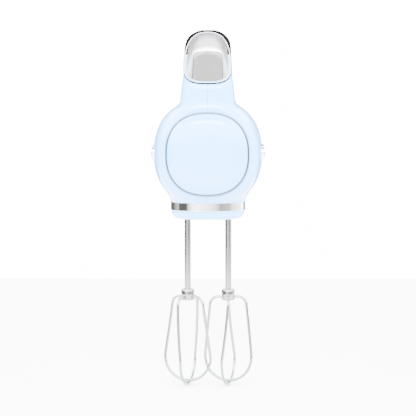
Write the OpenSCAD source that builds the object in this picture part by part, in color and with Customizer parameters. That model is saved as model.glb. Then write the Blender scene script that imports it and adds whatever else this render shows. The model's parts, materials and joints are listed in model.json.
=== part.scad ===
// Hand mixer: a round motor body with a loop handle, a chromed thumb scoop that ejects
// the beaters, and two wire beaters that turn against each other below the body.
// Millimetres. +Z is up with the beaters hanging down, the nose faces -Y.
// The origin is the centre of the hand grip.

/* [Body] */
// Width and height of the motor body at its widest
body_w = 85; // [83:0.5:87]
// Front of the body shell, ahead of the beater axes
body_front = 35; // [34:0.5:36]
// Heel, behind the beater axes
heel_y = 150; // [148:1:152]
// Wall of the plastic shells
wall = 2.4; // [2.2:0.1:2.6]

/* [Handle] */
// Top of the handle above the level just below the beater turret
handle_top = 149; // [148:0.5:150]
// Height of the grip section
grip_h = 28.5; // [28:0.5:29]
// Width of the grip section
grip_w = 34.6; // [34:0.2:35]

/* [Beaters] */
// Distance between the two beater axes
beater_pitch = 32; // [32:0.1:32.2]
// Diameter of a beater shaft
shaft_d = 5; // [4.9:0.05:5.05]
// Diameter of the whisk wire
wire_d = 2.3; // [2.1:0.1:2.4]
// Largest radius of the whisk, to the middle of the wire
whisk_r = 18.9; // [18:0.1:19]
// Turn of the wires between the hub and the widest point
whisk_twist = 15; // [12:1:16]

/* [Travel] */
// How far the eject button is pressed
eject_press = 5; // [4:0.5:5]
// How far that pushes the beaters out
eject_stroke = 7.5; // [6:0.5:7.5]
// Travel of the speed slider
speed_travel = 16; // [12:1:16]
// Travel of the turbo button
turbo_travel = 1.6; // [1.2:0.2:1.6]

/* [Hidden] */
$fn = 48;

// Colours
shell_blue = "#cfe4f5";
chrome = "#d9dadc";
gloss_black = "#141416";

// Clearances
run = 0.05;         // radial, shaft in bush
eps = 0.01;

// Grip centre, measured from the point midway between the beater axes just below the turret
grip_at = [0, 62, handle_top - grip_h / 2];

// Body: a superellipse in every section, widest at body_mid
body_r = body_w / 2;
body_mid = 5;
body_z = 52.5;
body_n = 2.3;
front_r = 33.2;
heel_r = 29;
heel_round = 6;
heel_lift = 6;

// Heel
heel_pad_z = 78;
cord_z = 43.5;
cord_hole_r = 3.4;

// Nose
nose_n = 2.35;
ring_r = 32.1;
ring_w = 1.1;

// Beater turret
turret_a = 28.9;
turret_b = 24.6;
turret_n = 2.3;
base_z = 1.1;          // underside of the turret
band_z = [7.6, 14.6];
turret_round = 5.5;

// Handle: an inner and an outer corner at each end of the grip
front_pivot = [21, 112.5];
rear_pivot = [104, 110.5];
front_in = 8;
rear_in = 10;
riser_front = 34;
grip_drop = 5;         // how far the grip falls from its front end to its rear end
riser_rear = front_pivot[0] - front_in;
post_front = rear_pivot[0] + rear_in;

// Thumb scoop: a plane that leans back from scoop_foot to scoop_head in the side view
scoop_foot = [-33, 106.5];
scoop_head = [-14, 147];
scoop_tilt = atan2(scoop_head[0] - scoop_foot[0], scoop_head[1] - scoop_foot[1]);
scoop_len = norm(scoop_head - scoop_foot);
scoop_w = 36;
scoop_waist = 14;      // height along the scoop where it is widest
scoop_deep = 10.5;
scoop_crease = 32.5;  // height along the scoop where its roof meets the button
button_half = 11.2;

// Black cover on top of the handle, above a plane through these two points
cover_front = [-24, 128];
cover_rear = [66, handle_top - 0.2];
cover_wall = 2.4;

// Controls on the cover
slider_at = 31;
turbo_at = 54;
display_at = 4;

// Drive
motor_z = 56;
wheel_teeth = 20;
wheel_r = 12;
worm_r = beater_pitch / 2 - wheel_r;
tooth_pitch = 360 / wheel_teeth;
worm_lead = 2 * PI * wheel_r / wheel_teeth;
wheel_z = [52, 60];
spindle_z = [1.6, 68];
spindle_r = 5;
motor_shaft_r = 2.5;
bush_r = 7;
bearing_r = 8;
beater_top = 46;
lug_z = [4, 11];

// Boards
control_z = handle_top - 14;   // underside of the control board
board_t = 1.6;
parts_z = control_z + board_t + 0.05;
power_at = [113, 60];          // front face and middle height of the power board

// Motor, front to back along Y
core_y = [46, 70];
core_r = 14.1;
stator_bore = 14.6;
coil_r = 20.4;
bolt_xz = [19, 16];
bracket_y = [24, 96];
bracket_a = 30;
bracket_b = 26;

// Whisk
hub_z = [-63.8, -55];
hub_r = 5.2;
wire_exit_z = -61.1;
whisk_foot_z = -110.2;   // centre of the round foot, midway between the two loops
shoulder_r = 14.3;
shoulder_bend = 6.5;      // radius of the bend between the hub and the slope
lean = 4;                 // where the slope runs into the round foot
whisk_angle = [-31.5, -0.5];  // left and right, at the hub
screw_at = [[6.6, 103.4], [112, 128], [132.6, 65.3], [84, 25]];   // places in the side view
plug_x = [19, 16.6, 31, 26];                            // how far out each plug reaches

// ---------------------------------------------------------------- helper functions

// Superellipse outline with half axes a and b and exponent n
function outline(a, b, n, k = 36) = [
    for (i = [0 : k - 1]) let (c = cos(360 * i / k), s = sin(360 * i / k))
        [a * sign(c) * pow(abs(c), 2 / n), b * sign(s) * pow(abs(s), 2 / n)]
];

function mix(a, b, t) = a + (b - a) * t;

// Rings of points: an outline stood across Y, and one laid across Z
function ring_at_y(y, z, half, n, k) = [for (p = outline(half, half, n, k)) [p[0], y, z + p[1]]];
function ring_at_z(z, a, b, n, k) = [for (p = outline(a, b, n, k)) [p[0], p[1], z]];

// Outer radius of a handle corner in the direction t, from its pivot
function corner(t, along, up, n) =
    pow(pow(abs(cos(t)) / along, n) + pow(abs(sin(t)) / up, n), -1 / n);

// Share of the way along the shoulder, and along the tail, at a place y of the body
function shoulder(y) = max(0, (body_mid - y) / (body_mid + body_front));
function tail(y) = max(0, (y - body_mid) / (heel_y - body_mid));
function heel_inset(y) = let (s = y - (heel_y - heel_round))
    s <= 0 ? 0 : heel_round - sqrt(max(0, heel_round * heel_round - s * s));
function body_half(y) =
    mix(front_r, body_r, pow(max(0, 1 - pow(shoulder(y), 2.2)), 1 / 2.2))
    - (body_r - heel_r) * pow(tail(y), 2.2) - heel_inset(y);
function body_mid_z(y) = body_z + heel_lift * pow(tail(y), 2);

body_stations = [-body_front, -34, -30, -22, -10, body_mid, 35, 65, 95, 122, 144, 147.2, heel_y];

// Handle sections, each a list of six: centre y, centre z, direction of the outer face,
// half thickness, half width, exponent
function riser_sections() = [
    for (z = [76, 88, 100, front_pivot[1]]) let (front = -riser_front + 0.05 * (z - 88))
        [(front + riser_rear) / 2, z, 180, (riser_rear - front) / 2, 21.9 - 0.00225 * pow(z - 76, 2), 4.4]
];
function corner_section(pivot, inner, t, along, up, n_corner, half_w, n) =
    let (reach = corner(t, along, up, n_corner), mid = (reach + inner) / 2)
        [pivot[0] + mid * cos(t), pivot[1] + mid * sin(t), t, (reach - inner) / 2, half_w, n];
function front_corner_sections() = [
    for (t = [168 : -13 : 103])
        corner_section(front_pivot, front_in, t, riser_front + front_pivot[0] - 1,
            handle_top - front_pivot[1], 3.6, mix(grip_w / 2, 18.8, (t - 90) / 90),
            mix(2.1, 4.4, pow((t - 90) / 90, 2.2)))
];
function grip_sections() = [
    for (i = [0 : 4])
        let (t = i / 4, y = mix(front_pivot[0], rear_pivot[0], t), top = handle_top - grip_drop * t * t,
             under = front_pivot[1] + front_in)
            [y, (top + under) / 2, 90, (top - under) / 2, grip_w / 2 - 0.6 * sin(180 * t), 2.1]
];
function rear_corner_sections() = [
    for (t = [77 : -13 : 12])
        corner_section(rear_pivot, rear_in, t, heel_y - rear_pivot[0],
            handle_top - grip_drop - rear_pivot[1], 2.7, mix(grip_w / 2, 19, 1 - t / 90),
            mix(2.6, 2.1, t / 90))
];
function post_sections() = [
    for (z = [rear_pivot[1], 96, 82, 66])
        [(post_front + heel_y) / 2, z, 0, (heel_y - post_front) / 2, 19 + 0.1 * (rear_pivot[1] - z), 2.8]
];
handle_sections = concat(riser_sections(), front_corner_sections(), grip_sections(),
    rear_corner_sections(), post_sections());

// ---------------------------------------------------------------- helper modules

// Moves a node from the turret's frame to the grip's frame
module placed() translate(-grip_at) children();

module mirrored_x() {
    children();
    mirror([1, 0, 0]) children();
}

module along_y(y) translate([0, y, 0]) rotate([-90, 0, 0]) children();

// A bar with rounded ends, from z 0 up
module slab(x, y, z, r) linear_extrude(z)
    polygon([
        for (q = [0 : 3], k = [0 : 4]) let (t = 90 * q + 22.5 * k, sx = q == 0 || q == 3 ? 1 : -1)
            [sx * (x / 2 - r) + r * cos(t), (q < 2 ? 1 : -1) * (y / 2 - r) + r * sin(t)]
    ]);

// The solid between two rings, and one through a list of rings
module span(a, b) hull() polyhedron(concat(a, b), [[for (i = [0 : len(a) + len(b) - 1]) i]]);
module chain(rings) for (i = [0 : len(rings) - 2]) span(rings[i], rings[i + 1]);

// The same solid as one skin; each ring runs anticlockwise seen against the path
module skin(rings) {
    k = len(rings[0]);
    last = len(rings) - 1;
    polyhedron([for (r = rings) each r], concat(
        [[for (j = [k - 1 : -1 : 0]) j], [for (j = [0 : k - 1]) last * k + j]],
        [for (i = [0 : last - 1], j = [0 : k - 1]) let (a = i * k + j, b = i * k + (j + 1) % k)
            each [[a, b, b + k], [a, b + k, a + k]]]));
}

// The torpedo of the motor body, made smaller all round by inset
function body_ring(y, inset) = let (half = body_half(y) - inset)
    ring_at_y(y > heel_y - 1 ? y - inset : y, body_mid_z(y), half, body_n, inset > 0 ? 24 : 36);
module body_solid(inset = 0) skin([for (y = body_stations) body_ring(y, inset)]);

// The riser, grip and rear post as one bent tube
function handle_ring(s, inset) = [
    for (p = outline(s[4] - inset, s[3] - inset, s[5], inset > 0.5 ? 16 : 24))
        [p[0], s[0] + p[1] * cos(s[2]), s[1] + p[1] * sin(s[2])]
];
function handle_rings(inset) = [for (s = handle_sections) handle_ring(s, inset)];
module handle_solid(inset = 0) skin(handle_rings(inset));

module turret_prism(z0, z1, inset = 0) translate([0, 0, z0])
    linear_extrude(z1 - z0) polygon(outline(turret_a - inset, turret_b - inset, turret_n));

// Whole outer form of the housing, made smaller all round by inset
module mixer_solid(inset = 0) {
    body_solid(inset);
    handle_solid(inset);
    turret_prism(band_z[1] - (inset > 0 ? 1 : 0), 34, inset + (inset > 0 ? 0 : 0.3));
}

// The space in front of the scoop plane, to be moved back by depth
module ahead_of_scoop(depth = 0) translate([0, scoop_foot[0], scoop_foot[1]]) rotate([-scoop_tilt, 0, 0])
    translate([-30, -40 + depth, -30]) cube([60, 40, 120]);

// The space above the plane of the black cover, to be lowered by depth
module above_cover(depth = 0) {
    run_y = cover_rear[0] - cover_front[0];
    tilt = atan2(cover_rear[1] - cover_front[1], run_y);
    translate([0, cover_front[0], cover_front[1]]) rotate([tilt, 0, 0])
        translate([-30, -30, -depth]) cube([60, 150, 60]);
}

// Scoop outline in its own plane, x across and y up the plane, made smaller by inset
function scoop_outline(inset) = [
    for (i = [0 : 39]) let (t = 9 * i, c = cos(t), s = sin(t), low = s < 0, n = low ? 3 : 2.5,
            reach = low ? scoop_waist - 0.6 : scoop_len - scoop_waist - 0.6)
        [(scoop_w / 2 - inset) * sign(c) * pow(abs(c), 2 / n),
         scoop_waist + (reach - inset) * sign(s) * pow(abs(s), 2 / n)]
];

// Stands children on the scoop plane: x across, y up the plane, z out of the handle
module on_scoop() translate([0, scoop_foot[0], scoop_foot[1]]) rotate([90 - scoop_tilt, 0, 0]) children();

// Room that the scoop bezel takes from the shells around it
module scoop_room() {
    ahead_of_scoop(2.2);
    on_scoop() translate([0, 0, -scoop_deep - 2.8]) linear_extrude(30) polygon(scoop_outline(1.8));
}

// Depth of the scoop below its plane, at a height v along the plane
function scoop_depth(v) = v > scoop_crease
    ? scoop_deep * pow(sin(90 * min(1, (scoop_len - v) / (scoop_len - scoop_crease))), 0.8)
    : mix(1.2, scoop_deep, pow(max(0, v) / scoop_crease, 0.75));

// The hollow of the scoop: slices across the plane, each a tapered trough
function scoop_ring(v) = let (half = scoop_half(v) - 0.9, d = scoop_depth(v),
        floor_half = mix(half, button_half, min(1, d / scoop_deep)))
    [for (p = [[-half, 3], [-half, 0], [-floor_half, -d], [floor_half, -d], [half, 0], [half, 3]])
        [p[0], v, p[1]]];
module scoop_hollow() chain([for (i = [0 : 11]) scoop_ring(mix(1.6, scoop_len - 1.2, i / 11))]);

// Half width of the scoop's outline at a height v
function scoop_half(v) = let (low = v < scoop_waist, n = low ? 3 : 2.5,
        s = abs(v - scoop_waist) / (low ? scoop_waist - 0.6 : scoop_len - scoop_waist - 0.6))
    scoop_w / 2 * pow(max(0.02, 1 - pow(min(1, s), n)), 1 / n);

module at_screws(x = 0) for (p = screw_at) translate([x, p[0], p[1]]) rotate([0, 90, 0]) children();

// ---------------------------------------------------------------- housing

// Ribs inside the shell that hold the motor brackets, the power board and the gearbox
module housing_ribs() intersection() {
    mixer_solid(wall - 0.4);
    difference() {
        union() {
            for (y = [bracket_y[0] + 1.5, bracket_y[1] + 1.5])
                translate([-50, y - 1.2, 0]) cube([100, 2.4, 92]);
            translate([-50, 110.5, 20]) cube([100, 5, 90]);
            translate([-50, -40, 20.5]) cube([100, 72, 3.3]);
        }
        for (y = bracket_y) translate([0, y - 5, motor_z]) rotate([-90, 0, 0])
            linear_extrude(14) polygon(outline(bracket_a + 0.2, bracket_b + 0.2, 3));
        translate([0, 105, 60]) rotate([-90, 0, 0]) linear_extrude(16) polygon(outline(19, 17, 4));
        translate([-24.3, power_at[0] - 1, power_at[1] - 21.3]) cube([48.6, 2, 42.6]);
        translate([0, 0, 18]) linear_extrude(9) polygon(outline(26, 19.5, 3));
    }
}

module bosses() intersection() {
    mixer_solid(wall - 0.4);
    at_screws(-45) hull() for (x = [-1.6, 1.6]) translate([x, 0, 0]) cylinder(r = 4.2, h = 90, $fn = 24);
}

// One half of the shell: side is -1 for the left and 1 for the right
module housing_half(side) color(shell_blue) difference() {
    union() {
        difference() {
            mixer_solid();
            mixer_solid(wall);
        }
        housing_ribs();
        bosses();
    }
    // the other half
    translate([side > 0 ? -100 : 0, -100, -20]) cube([100, 300, 220]);
    // nose opening
    translate([0, -20, body_z]) rotate([90, 0, 0]) linear_extrude(40)
        polygon(outline(ring_r + 0.1, ring_r + 0.1, nose_n));
    turret_prism(-5, band_z[1], -0.6);
    scoop_room();
    above_cover(0);
    // heel pad recess, cord inlet and cooling slots
    translate([0, heel_y - 2, heel_pad_z]) rotate([-90, 0, 0]) slab(34.4, 54.4, 10, 12);
    translate([0, heel_y - 12, cord_z]) rotate([-90, 0, 0]) cylinder(r = 5.3, h = 30, $fn = 32);
    vent_slots();
    // side trim seats
    translate([side * (body_r - 1.2 + 5), 25, body_z]) cube([10, 62.4, 10.9], center = true);
    at_screws(-10) cylinder(r = 1.45, h = 15, $fn = 12);
    turbo_hole();
    if (side > 0) at_screws(4) cylinder(r = 3, h = 60, $fn = 24);
}

module vent_slots() for (i = [-3 : 3]) hull() for (end = [-1, 1])
    translate([i * 5.2, 127 + end * (7.8 - abs(i) * 0.8), 20]) cylinder(r = 1.2, h = 12, $fn = 16);

module left_housing() housing_half(-1);
module right_housing() housing_half(1);

// The nose is a pillow: flat in the middle and rolled at the edge
function nose_rings(y, depth, half, steps, k) = [
    for (i = [0 : steps]) let (t = 0.995 * sin(90 * i / steps))
        ring_at_y(y - depth * t, body_z, half * pow(1 - pow(t, 2.6), 1 / 2.9), nose_n, k)
];
module nose_cap() color(shell_blue) {
    skirt = ring_r - ring_w - 0.1;
    back = -27;
    difference() {
        chain(concat([ring_at_y(back, body_z, skirt, nose_n, 32)],
            nose_rings(-body_front - 0.6, 10.4, skirt, 6, 32)));
        chain(concat([ring_at_y(back + 1, body_z, skirt - 2, nose_n, 24)],
            nose_rings(-body_front + 0.6, 9.4, skirt - 2, 5, 24)));
    }
}

module nose_trim_ring() color(chrome) translate([0, -29, body_z]) rotate([90, 0, 0]) difference() {
    linear_extrude(body_front - 29 + 1.4) polygon(outline(ring_r, ring_r, nose_n, 96));
    translate([0, 0, -1]) linear_extrude(20) polygon(outline(ring_r - ring_w, ring_r - ring_w, nose_n, 96));
}

module turret_band() color(chrome) difference() {
    turret_prism(band_z[0] + 0.05, band_z[1] - 0.05, -0.4);
    turret_prism(band_z[0] - 1, band_z[1] + 1, 1.4);
}

module turret_base() color(shell_blue) difference() {
    union() {
        chain(concat(
            [for (t = [90 : -18 : 0]) let (roll = 0.3 + turret_round * (1 - cos(t)))
                ring_at_z(base_z + turret_round * (1 - sin(t)), turret_a - roll, turret_b - roll,
                    turret_n, 36)],
            [ring_at_z(band_z[0], turret_a - 0.3, turret_b - 0.3, turret_n, 36)]));
        turret_prism(band_z[0] - 0.5, band_z[1] - 0.1, 1.5);
        turret_prism(band_z[0] - 0.5, band_z[1] + 3, wall + 0.5);
    }
    turret_prism(base_z + 3.2, 40, 1.4 + wall);
    mirrored_x() translate([beater_pitch / 2, 0, -1]) cylinder(r = 5.8, h = 8);
}

module side_trim(side) color(chrome) intersection() {
    translate([side * (body_r - 1 + 1.7), 25, body_z]) rotate([0, 90, 0]) rotate([0, 0, 90])
        translate([0, 0, -1.7]) slab(62, 10.5, 3.4, 5.2);
    translate([0, 25, body_z]) cube([300, 63, 12], center = true);
}
module side_trim_left() side_trim(-1);
module side_trim_right() side_trim(1);

// ---------------------------------------------------------------- controls

module turbo_hole() translate([0, turbo_at, handle_top - 12]) cylinder(r = 5.15, h = 20);
module cover_holes() {
    translate([0, slider_at, handle_top - 12]) slab(4.4, speed_travel + 6.6, 20, 2.1);
    turbo_hole();
}

module top_cover() color(gloss_black) difference() {
    intersection() {
        chain(handle_rings(0));
        above_cover(-0.15);
    }
    chain(handle_rings(cover_wall));
    scoop_room();
    translate([0, display_at, handle_top - 2]) slab(15.4, 20.4, 6, 3);
    translate([0, display_at, handle_top - 9]) slab(11, 16, 12, 2);
    translate([0, 38.5, handle_top - 0.9]) slab(13, 46, 4, 6.4);
    cover_holes();
}

module display_window() color("#26282c") intersection() {
    translate([0, display_at, handle_top - 1.9]) slab(15, 20, 6, 2.8);
    translate([0, display_at, handle_top - 41.5]) rotate([90, 0, 0])
        cylinder(r = 40.9, h = 40, center = true, $fn = 120);
}

module speed_slider() color(chrome) {
    translate([0, slider_at - speed_travel / 2, 0]) {
        translate([0, 0, handle_top - 0.6]) slab(11, 11, 1.5, 3);
        for (i = [-1 : 1]) translate([0, 2.6 * i, handle_top + 0.9 - eps]) slab(8, 1.2, 0.8, 0.5);
        translate([0, 0, handle_top - 8.2]) slab(3.6, 5.6, 8.2, 1.6);
    }
}

module turbo_button() color(chrome) {
    translate([0, turbo_at, handle_top - 4.4]) cylinder(r = 5, h = 5.6);
    translate([0, turbo_at, handle_top - 6.6]) cylinder(r = 1.6, h = 2.3);
}

module scoop_bezel() color(chrome) {
    difference() {
        intersection() {
            union() {
                on_scoop() translate([0, 0, -scoop_deep - 2.4]) linear_extrude(scoop_deep + 1.2)
                    polygon(scoop_outline(2));
                on_scoop() translate([0, 0, -2.1]) linear_extrude(2.1) polygon(scoop_outline(0.2));
            }
            chain(handle_rings(0.1));
        }
        scoop_hollow();
        on_scoop() translate([0, 0, -30]) linear_extrude(40)
            polygon([[-button_half - 0.2, 3.2], [button_half + 0.2, 3.2],
                [button_half + 0.2, scoop_crease + 0.4], [-button_half - 0.2, scoop_crease + 0.4]]);
        // room for the boards behind it
        translate([-30, -8.2, 100]) cube([60, 40, 60]);
    }
}

// Slope of the wedge that turns the push of the button into the drop of the fork
wedge = atan2(eject_stroke - eject_press * sin(scoop_tilt), eject_press * cos(scoop_tilt));
wedge_at = [-12, 114];
module on_wedge() translate([0, wedge_at[0], wedge_at[1]]) rotate([wedge, 0, 0]) children();

module eject_button() color("#b9babd") {
    steps = 6;
    back = -scoop_deep - 1.6;
    on_scoop() for (i = [0 : steps - 1]) {
        v0 = mix(3.6, scoop_crease, i / steps);
        v1 = mix(3.6, scoop_crease, (i + 1) / steps);
        rotate([90, 0, 90]) translate([0, 0, -button_half]) linear_extrude(2 * button_half)
            polygon([[v0, -scoop_depth(v0)], [v1, -scoop_depth(v1)], [v1, back], [v0, back]]);
    }
    // pusher with the sloping face
    intersection() {
        translate([-4, -21, 111]) cube([8, 9, 8]);
        on_wedge() translate([-10, -30, 0.1]) cube([20, 60, 30]);
    }
}

module ejector_fork() color("#e8e8e6") {
    // stem with the sloping face
    intersection() {
        translate([-4, -15.5, 84]) cube([8, 8, 34]);
        on_wedge() translate([-10, -40, -60]) cube([20, 80, 60]);
    }
    difference() {
        translate([0, -2, 80]) slab(44, 28, 4.2, 6);
        translate([0, 5, 79]) cylinder(r = 3.3, h = 8);
    }
    mirrored_x() translate([beater_pitch / 2, 0, beater_top + 0.3]) cylinder(r = 2.3, h = 80.5 - beater_top);
}

// A round wire wound on a cylinder, standing on z 0
module coil_spring(r, wire, turns, height, sides = 6, steps = 12) {
    n = round(turns * steps);
    pts = [for (i = [0 : n], j = [0 : sides - 1])
        let (t = 360 * i / steps, q = 360 * j / sides, m = r + wire / 2 * cos(q))
            [m * cos(t), m * sin(t), wire / 2 + (height - wire) * i / n + wire / 2 * sin(q)]];
    sides_faces = [for (i = [0 : n - 1], j = [0 : sides - 1]) let (k = (j + 1) % sides)
        [i * sides + j, i * sides + k, (i + 1) * sides + k, (i + 1) * sides + j]];
    polyhedron(pts, concat([[for (j = [0 : sides - 1]) j]],
        [for (f = sides_faces) [f[3], f[2], f[1], f[0]]],
        [[for (j = [sides - 1 : -1 : 0]) n * sides + j]]));
}

module ejector_spring() color("silver") translate([0, 5, 67.1]) coil_spring(4.2, 0.9, 5, 12.8);

module control_board() color("#2f6b45") difference() {
    translate([0, 27, control_z]) slab(20, 70, board_t, 2);
    for (y = [-4, 59]) translate([0, y, control_z - 1]) cylinder(r = 1.2, h = 4);
}

module speed_potentiometer() color("#3a3d42") difference() {
    translate([0, slider_at, parts_z]) slab(9, 30, 4.6, 1);
    translate([0, slider_at, handle_top - 10.6]) slab(4.4, speed_travel + 6.6, 5, 2.1);
}

module turbo_switch() color("#26282c") {
    translate([0, turbo_at, parts_z]) slab(7, 7, 3.4, 0.8);
    translate([0, turbo_at, handle_top - 9]) cylinder(r = 1.5, h = 0.6);
}

module display_module() color("#1d1f22") translate([0, display_at, parts_z]) slab(14, 18, 8.6, 1);

// ---------------------------------------------------------------- rear of the body

module heel_pad() color("#8f979d") translate([0, heel_y - 1.9, heel_pad_z]) rotate([-90, 0, 0])
    slab(34, 54, 2.9, 12);

module cord_inlet_bush() color("#8f979d") translate([0, heel_y - 12, cord_z]) rotate([-90, 0, 0])
difference() {
    union() {
        cylinder(r = 5.2, h = 12);
        cylinder(r = 6.6, h = 3);
    }
    translate([0, 0, -1]) cylinder(r = cord_hole_r, h = 20);
}

module housing_screws() color("silver") at_screws() {
    translate([0, 0, -9]) cylinder(r = 1.38, h = 13.2);
    translate([0, 0, 4.05]) difference() {
        cylinder(r = 2.8, h = 2);
        translate([0, 0, 1]) cube([0.7, 3, 3], center = true);
    }
}

// Plugs over the screws, a little below the surface of the right shell
module screw_plugs() color(shell_blue) for (i = [0 : len(screw_at) - 1])
    translate([plug_x[i] - 4, screw_at[i][0], screw_at[i][1]]) rotate([0, 90, 0]) cylinder(r = 2.9, h = 4);

module power_board() color("#2f6b45") translate([-24, power_at[0] - board_t / 2, power_at[1] - 21])
    cube([48, board_t, 42]);

module power_components() color("#4a5a6b") {
    translate([8, 107, 66]) rotate([-90, 0, 0]) cylinder(r = 4.5, h = 5.2);
    translate([-14, 105, 52]) cube([10, 7.15, 8]);
    translate([-9, 113.85, 64]) cube([16, 9, 10]);
}

module terminal_block() color("#dcdcd6") translate([-9, 113.85, 46]) difference() {
    cube([18, 9, 10]);
    for (x = [4.5, 13.5]) translate([x, 4.5, 3]) cylinder(r = 2, h = 8);
}

// ---------------------------------------------------------------- gearbox

module spindle_holes(r) mirrored_x() translate([beater_pitch / 2, 0, 0])
    cylinder(r = r, h = 200, center = true);
module four(x, y) for (sx = [-1, 1], sy = [-1, 1]) translate([sx * x, sy * y, 0]) children();

module gearbox_base() color("#d9d7cf") difference() {
    union() {
        translate([0, 0, 24]) linear_extrude(3) polygon(outline(28.5, 22, 3));
        mirrored_x() translate([beater_pitch / 2, 0, 16]) cylinder(r = bush_r + 1.8, h = 9);
        translate([0, 0, 26]) four(20, 16.5) cylinder(r = 3, h = 38);
        translate([-7, -20, 26]) cube([14, 4.5, motor_z - 26 + 6]);
    }
    spindle_holes(bush_r);
    translate([0, 0, 50]) four(20, 16.5) cylinder(r = 1.3, h = 20);
    along_y(-30) translate([0, -motor_z, 0]) cylinder(r = 5, h = 20);
}

module gearbox_cover() color("#d9d7cf") difference() {
    union() {
        translate([0, 0, 64]) linear_extrude(3) polygon(outline(27, 21, 3));
        translate([0, 5, 66]) cylinder(r = 3, h = 20);
    }
    spindle_holes(bush_r);
    translate([0, 0, 60]) four(20, 16.5) cylinder(r = 1.6, h = 20);
}

module gearbox_screws() color("silver") translate([0, 0, 56]) four(20, 16.5) {
    cylinder(r = 1.3, h = 11.1);
    translate([0, 0, 11.05]) cylinder(r = 2.7, h = 1.9);
}

module spindle_bush(z0, z1) color("#b98b4a") mirrored_x() translate([beater_pitch / 2, 0, z0])
    difference() {
        cylinder(r = bush_r, h = z1 - z0);
        translate([0, 0, -1]) cylinder(r = spindle_r + run, h = 40);
    }
module lower_spindle_bushes() spindle_bush(16, 27);
module upper_spindle_bushes() spindle_bush(61.2, 67);

// ---------------------------------------------------------------- motor, fixed parts

module motor_axis() translate([0, 0, motor_z]) children();

module stator_core() color("#7c7f84") motor_axis() difference() {
    along_y(core_y[0]) linear_extrude(core_y[1] - core_y[0]) polygon(outline(25, 22, 4.5, 64));
    along_y(0) cylinder(r = stator_bore, h = 120);
    for (a = [0, 180]) rotate([0, a, 0]) along_y(core_y[0] - 1) rotate([0, 0, -52])
        rotate_extrude(angle = 104) translate([stator_bore - 1, 0]) square([coil_r - stator_bore + 1, 40]);
    along_y(core_y[0] - 1) four(bolt_xz[0], bolt_xz[1]) cylinder(r = 1.8, h = 40);
}

// Each coil is a saddle round one pole
module field_coils() color("#b0683a") motor_axis() for (a = [0, 180]) rotate([0, a, 0]) difference() {
    along_y(core_y[0] - 5) rotate([0, 0, -175]) rotate_extrude(angle = 170)
        translate([stator_bore + 0.3, 0]) square([coil_r - stator_bore - 0.5, core_y[1] - core_y[0] + 10]);
    along_y(core_y[0] - 0.3) rotate([0, 0, -129]) rotate_extrude(angle = 78)
        translate([stator_bore - 2, 0]) square([12, core_y[1] - core_y[0] + 0.6]);
}

module bracket() difference() {
    linear_extrude(3) polygon(outline(bracket_a, bracket_b, 3));
    translate([0, 0, -1]) cylinder(r = bearing_r, h = 9);
    translate([0, 0, -1]) four(bolt_xz[0], bolt_xz[1]) cylinder(r = 1.6, h = 9);
    for (a = [0 : 60 : 300]) rotate([0, 0, a]) translate([15, 0, -1]) cylinder(r = 4, h = 9);
}
module motor_front_bracket() color("#9a9ca0") motor_axis() along_y(bracket_y[0]) bracket();
module motor_rear_bracket() color("#9a9ca0") motor_axis() along_y(bracket_y[1]) bracket();

module motor_bolts() color("silver") motor_axis() along_y(bracket_y[0]) four(bolt_xz[0], bolt_xz[1]) {
    cylinder(r = 1.58, h = bracket_y[1] - bracket_y[0] + 3);
    translate([0, 0, -1.9]) cylinder(r = 2.8, h = 1.9);
}

// One bush in the gearbox and one in each bracket
module bearing(y, r, h) along_y(y) difference() {
    cylinder(r = r, h = h);
    translate([0, 0, -1]) cylinder(r = motor_shaft_r + run, h = 9);
}
module motor_bearings() color("#c8a05a") motor_axis() {
    bearing(-20, 5, 4.5);
    for (y = bracket_y) bearing(y, bearing_r, 5);
}

module brush_holders() color("#d8b25c") motor_axis() mirrored_x() difference() {
    translate([10, 80, -5]) cube([17, bracket_y[1] - 80, 10]);
    translate([9, 81.6, -3.4]) cube([16.6, 5.8, 6.8]);
}

module carbon_brushes() color("#2b2b2e") motor_axis() mirrored_x()
    translate([9.1, 81.7, -3.3]) cube([12, 5.6, 6.6]);

// ---------------------------------------------------------------- motor, turning parts

module motor_shaft() color("silver") motor_axis() along_y(-20) cylinder(r = motor_shaft_r, h = 124);

// Trapezoid thread on a core, right-handed, with a ridge facing +X at y 0
worm_steps = 12;     // slices in each turn of the thread
worm_turns = 6;
function worm_ridge(i) = let (t = 360 * i / worm_steps, y = worm_lead * i / worm_steps)
    [for (p = [[2.65, -0.98], [worm_r + 0.9, -0.36], [worm_r + 0.9, 0.36], [2.65, 0.98]])
        [p[0] * cos(t), y + p[1], -p[0] * sin(t)]];
module worm() color("#c9c9cb") motor_axis() difference() {
    union() {
        chain([for (i = [-worm_turns / 2 * worm_steps : worm_turns / 2 * worm_steps]) worm_ridge(i)]);
        along_y(-13) cylinder(r = 3, h = 26, $fn = 24);
    }
    // the flats of the bore touch the shaft
    along_y(-14) cylinder(r = motor_shaft_r / cos(7.5), h = 28, $fn = 24);
}

module armature_core() color("#7c7f84") motor_axis() along_y(core_y[0]) difference() {
    cylinder(r = core_r, h = core_y[1] - core_y[0]);
    translate([0, 0, -1]) cylinder(r = motor_shaft_r, h = 40);
    for (a = [0 : 30 : 330]) rotate([0, 0, a]) translate([9.5, -1, -1]) cube([6, 2, 40]);
}

module armature_windings() color("#b0683a") motor_axis() for (y = [core_y[0] - 5, core_y[1]])
    along_y(y) rotate_extrude() translate([motor_shaft_r + 1, 0])
        polygon([[0, 0], [9, 0], [9.6, 1], [9.6, 3.6], [8.6, 5], [1, 5], [0, 4]]);

module commutator() color("#b87444") motor_axis() along_y(79) difference() {
    cylinder(r = 9, h = 11);
    translate([0, 0, -1]) cylinder(r = motor_shaft_r, h = 40);
    for (a = [0 : 15 : 165]) rotate([0, 0, a]) translate([0, 0, 4]) difference() {
        cube([20, 0.4, 16], center = true);
        cylinder(r = 7.6, h = 30, center = true);
    }
}

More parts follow.
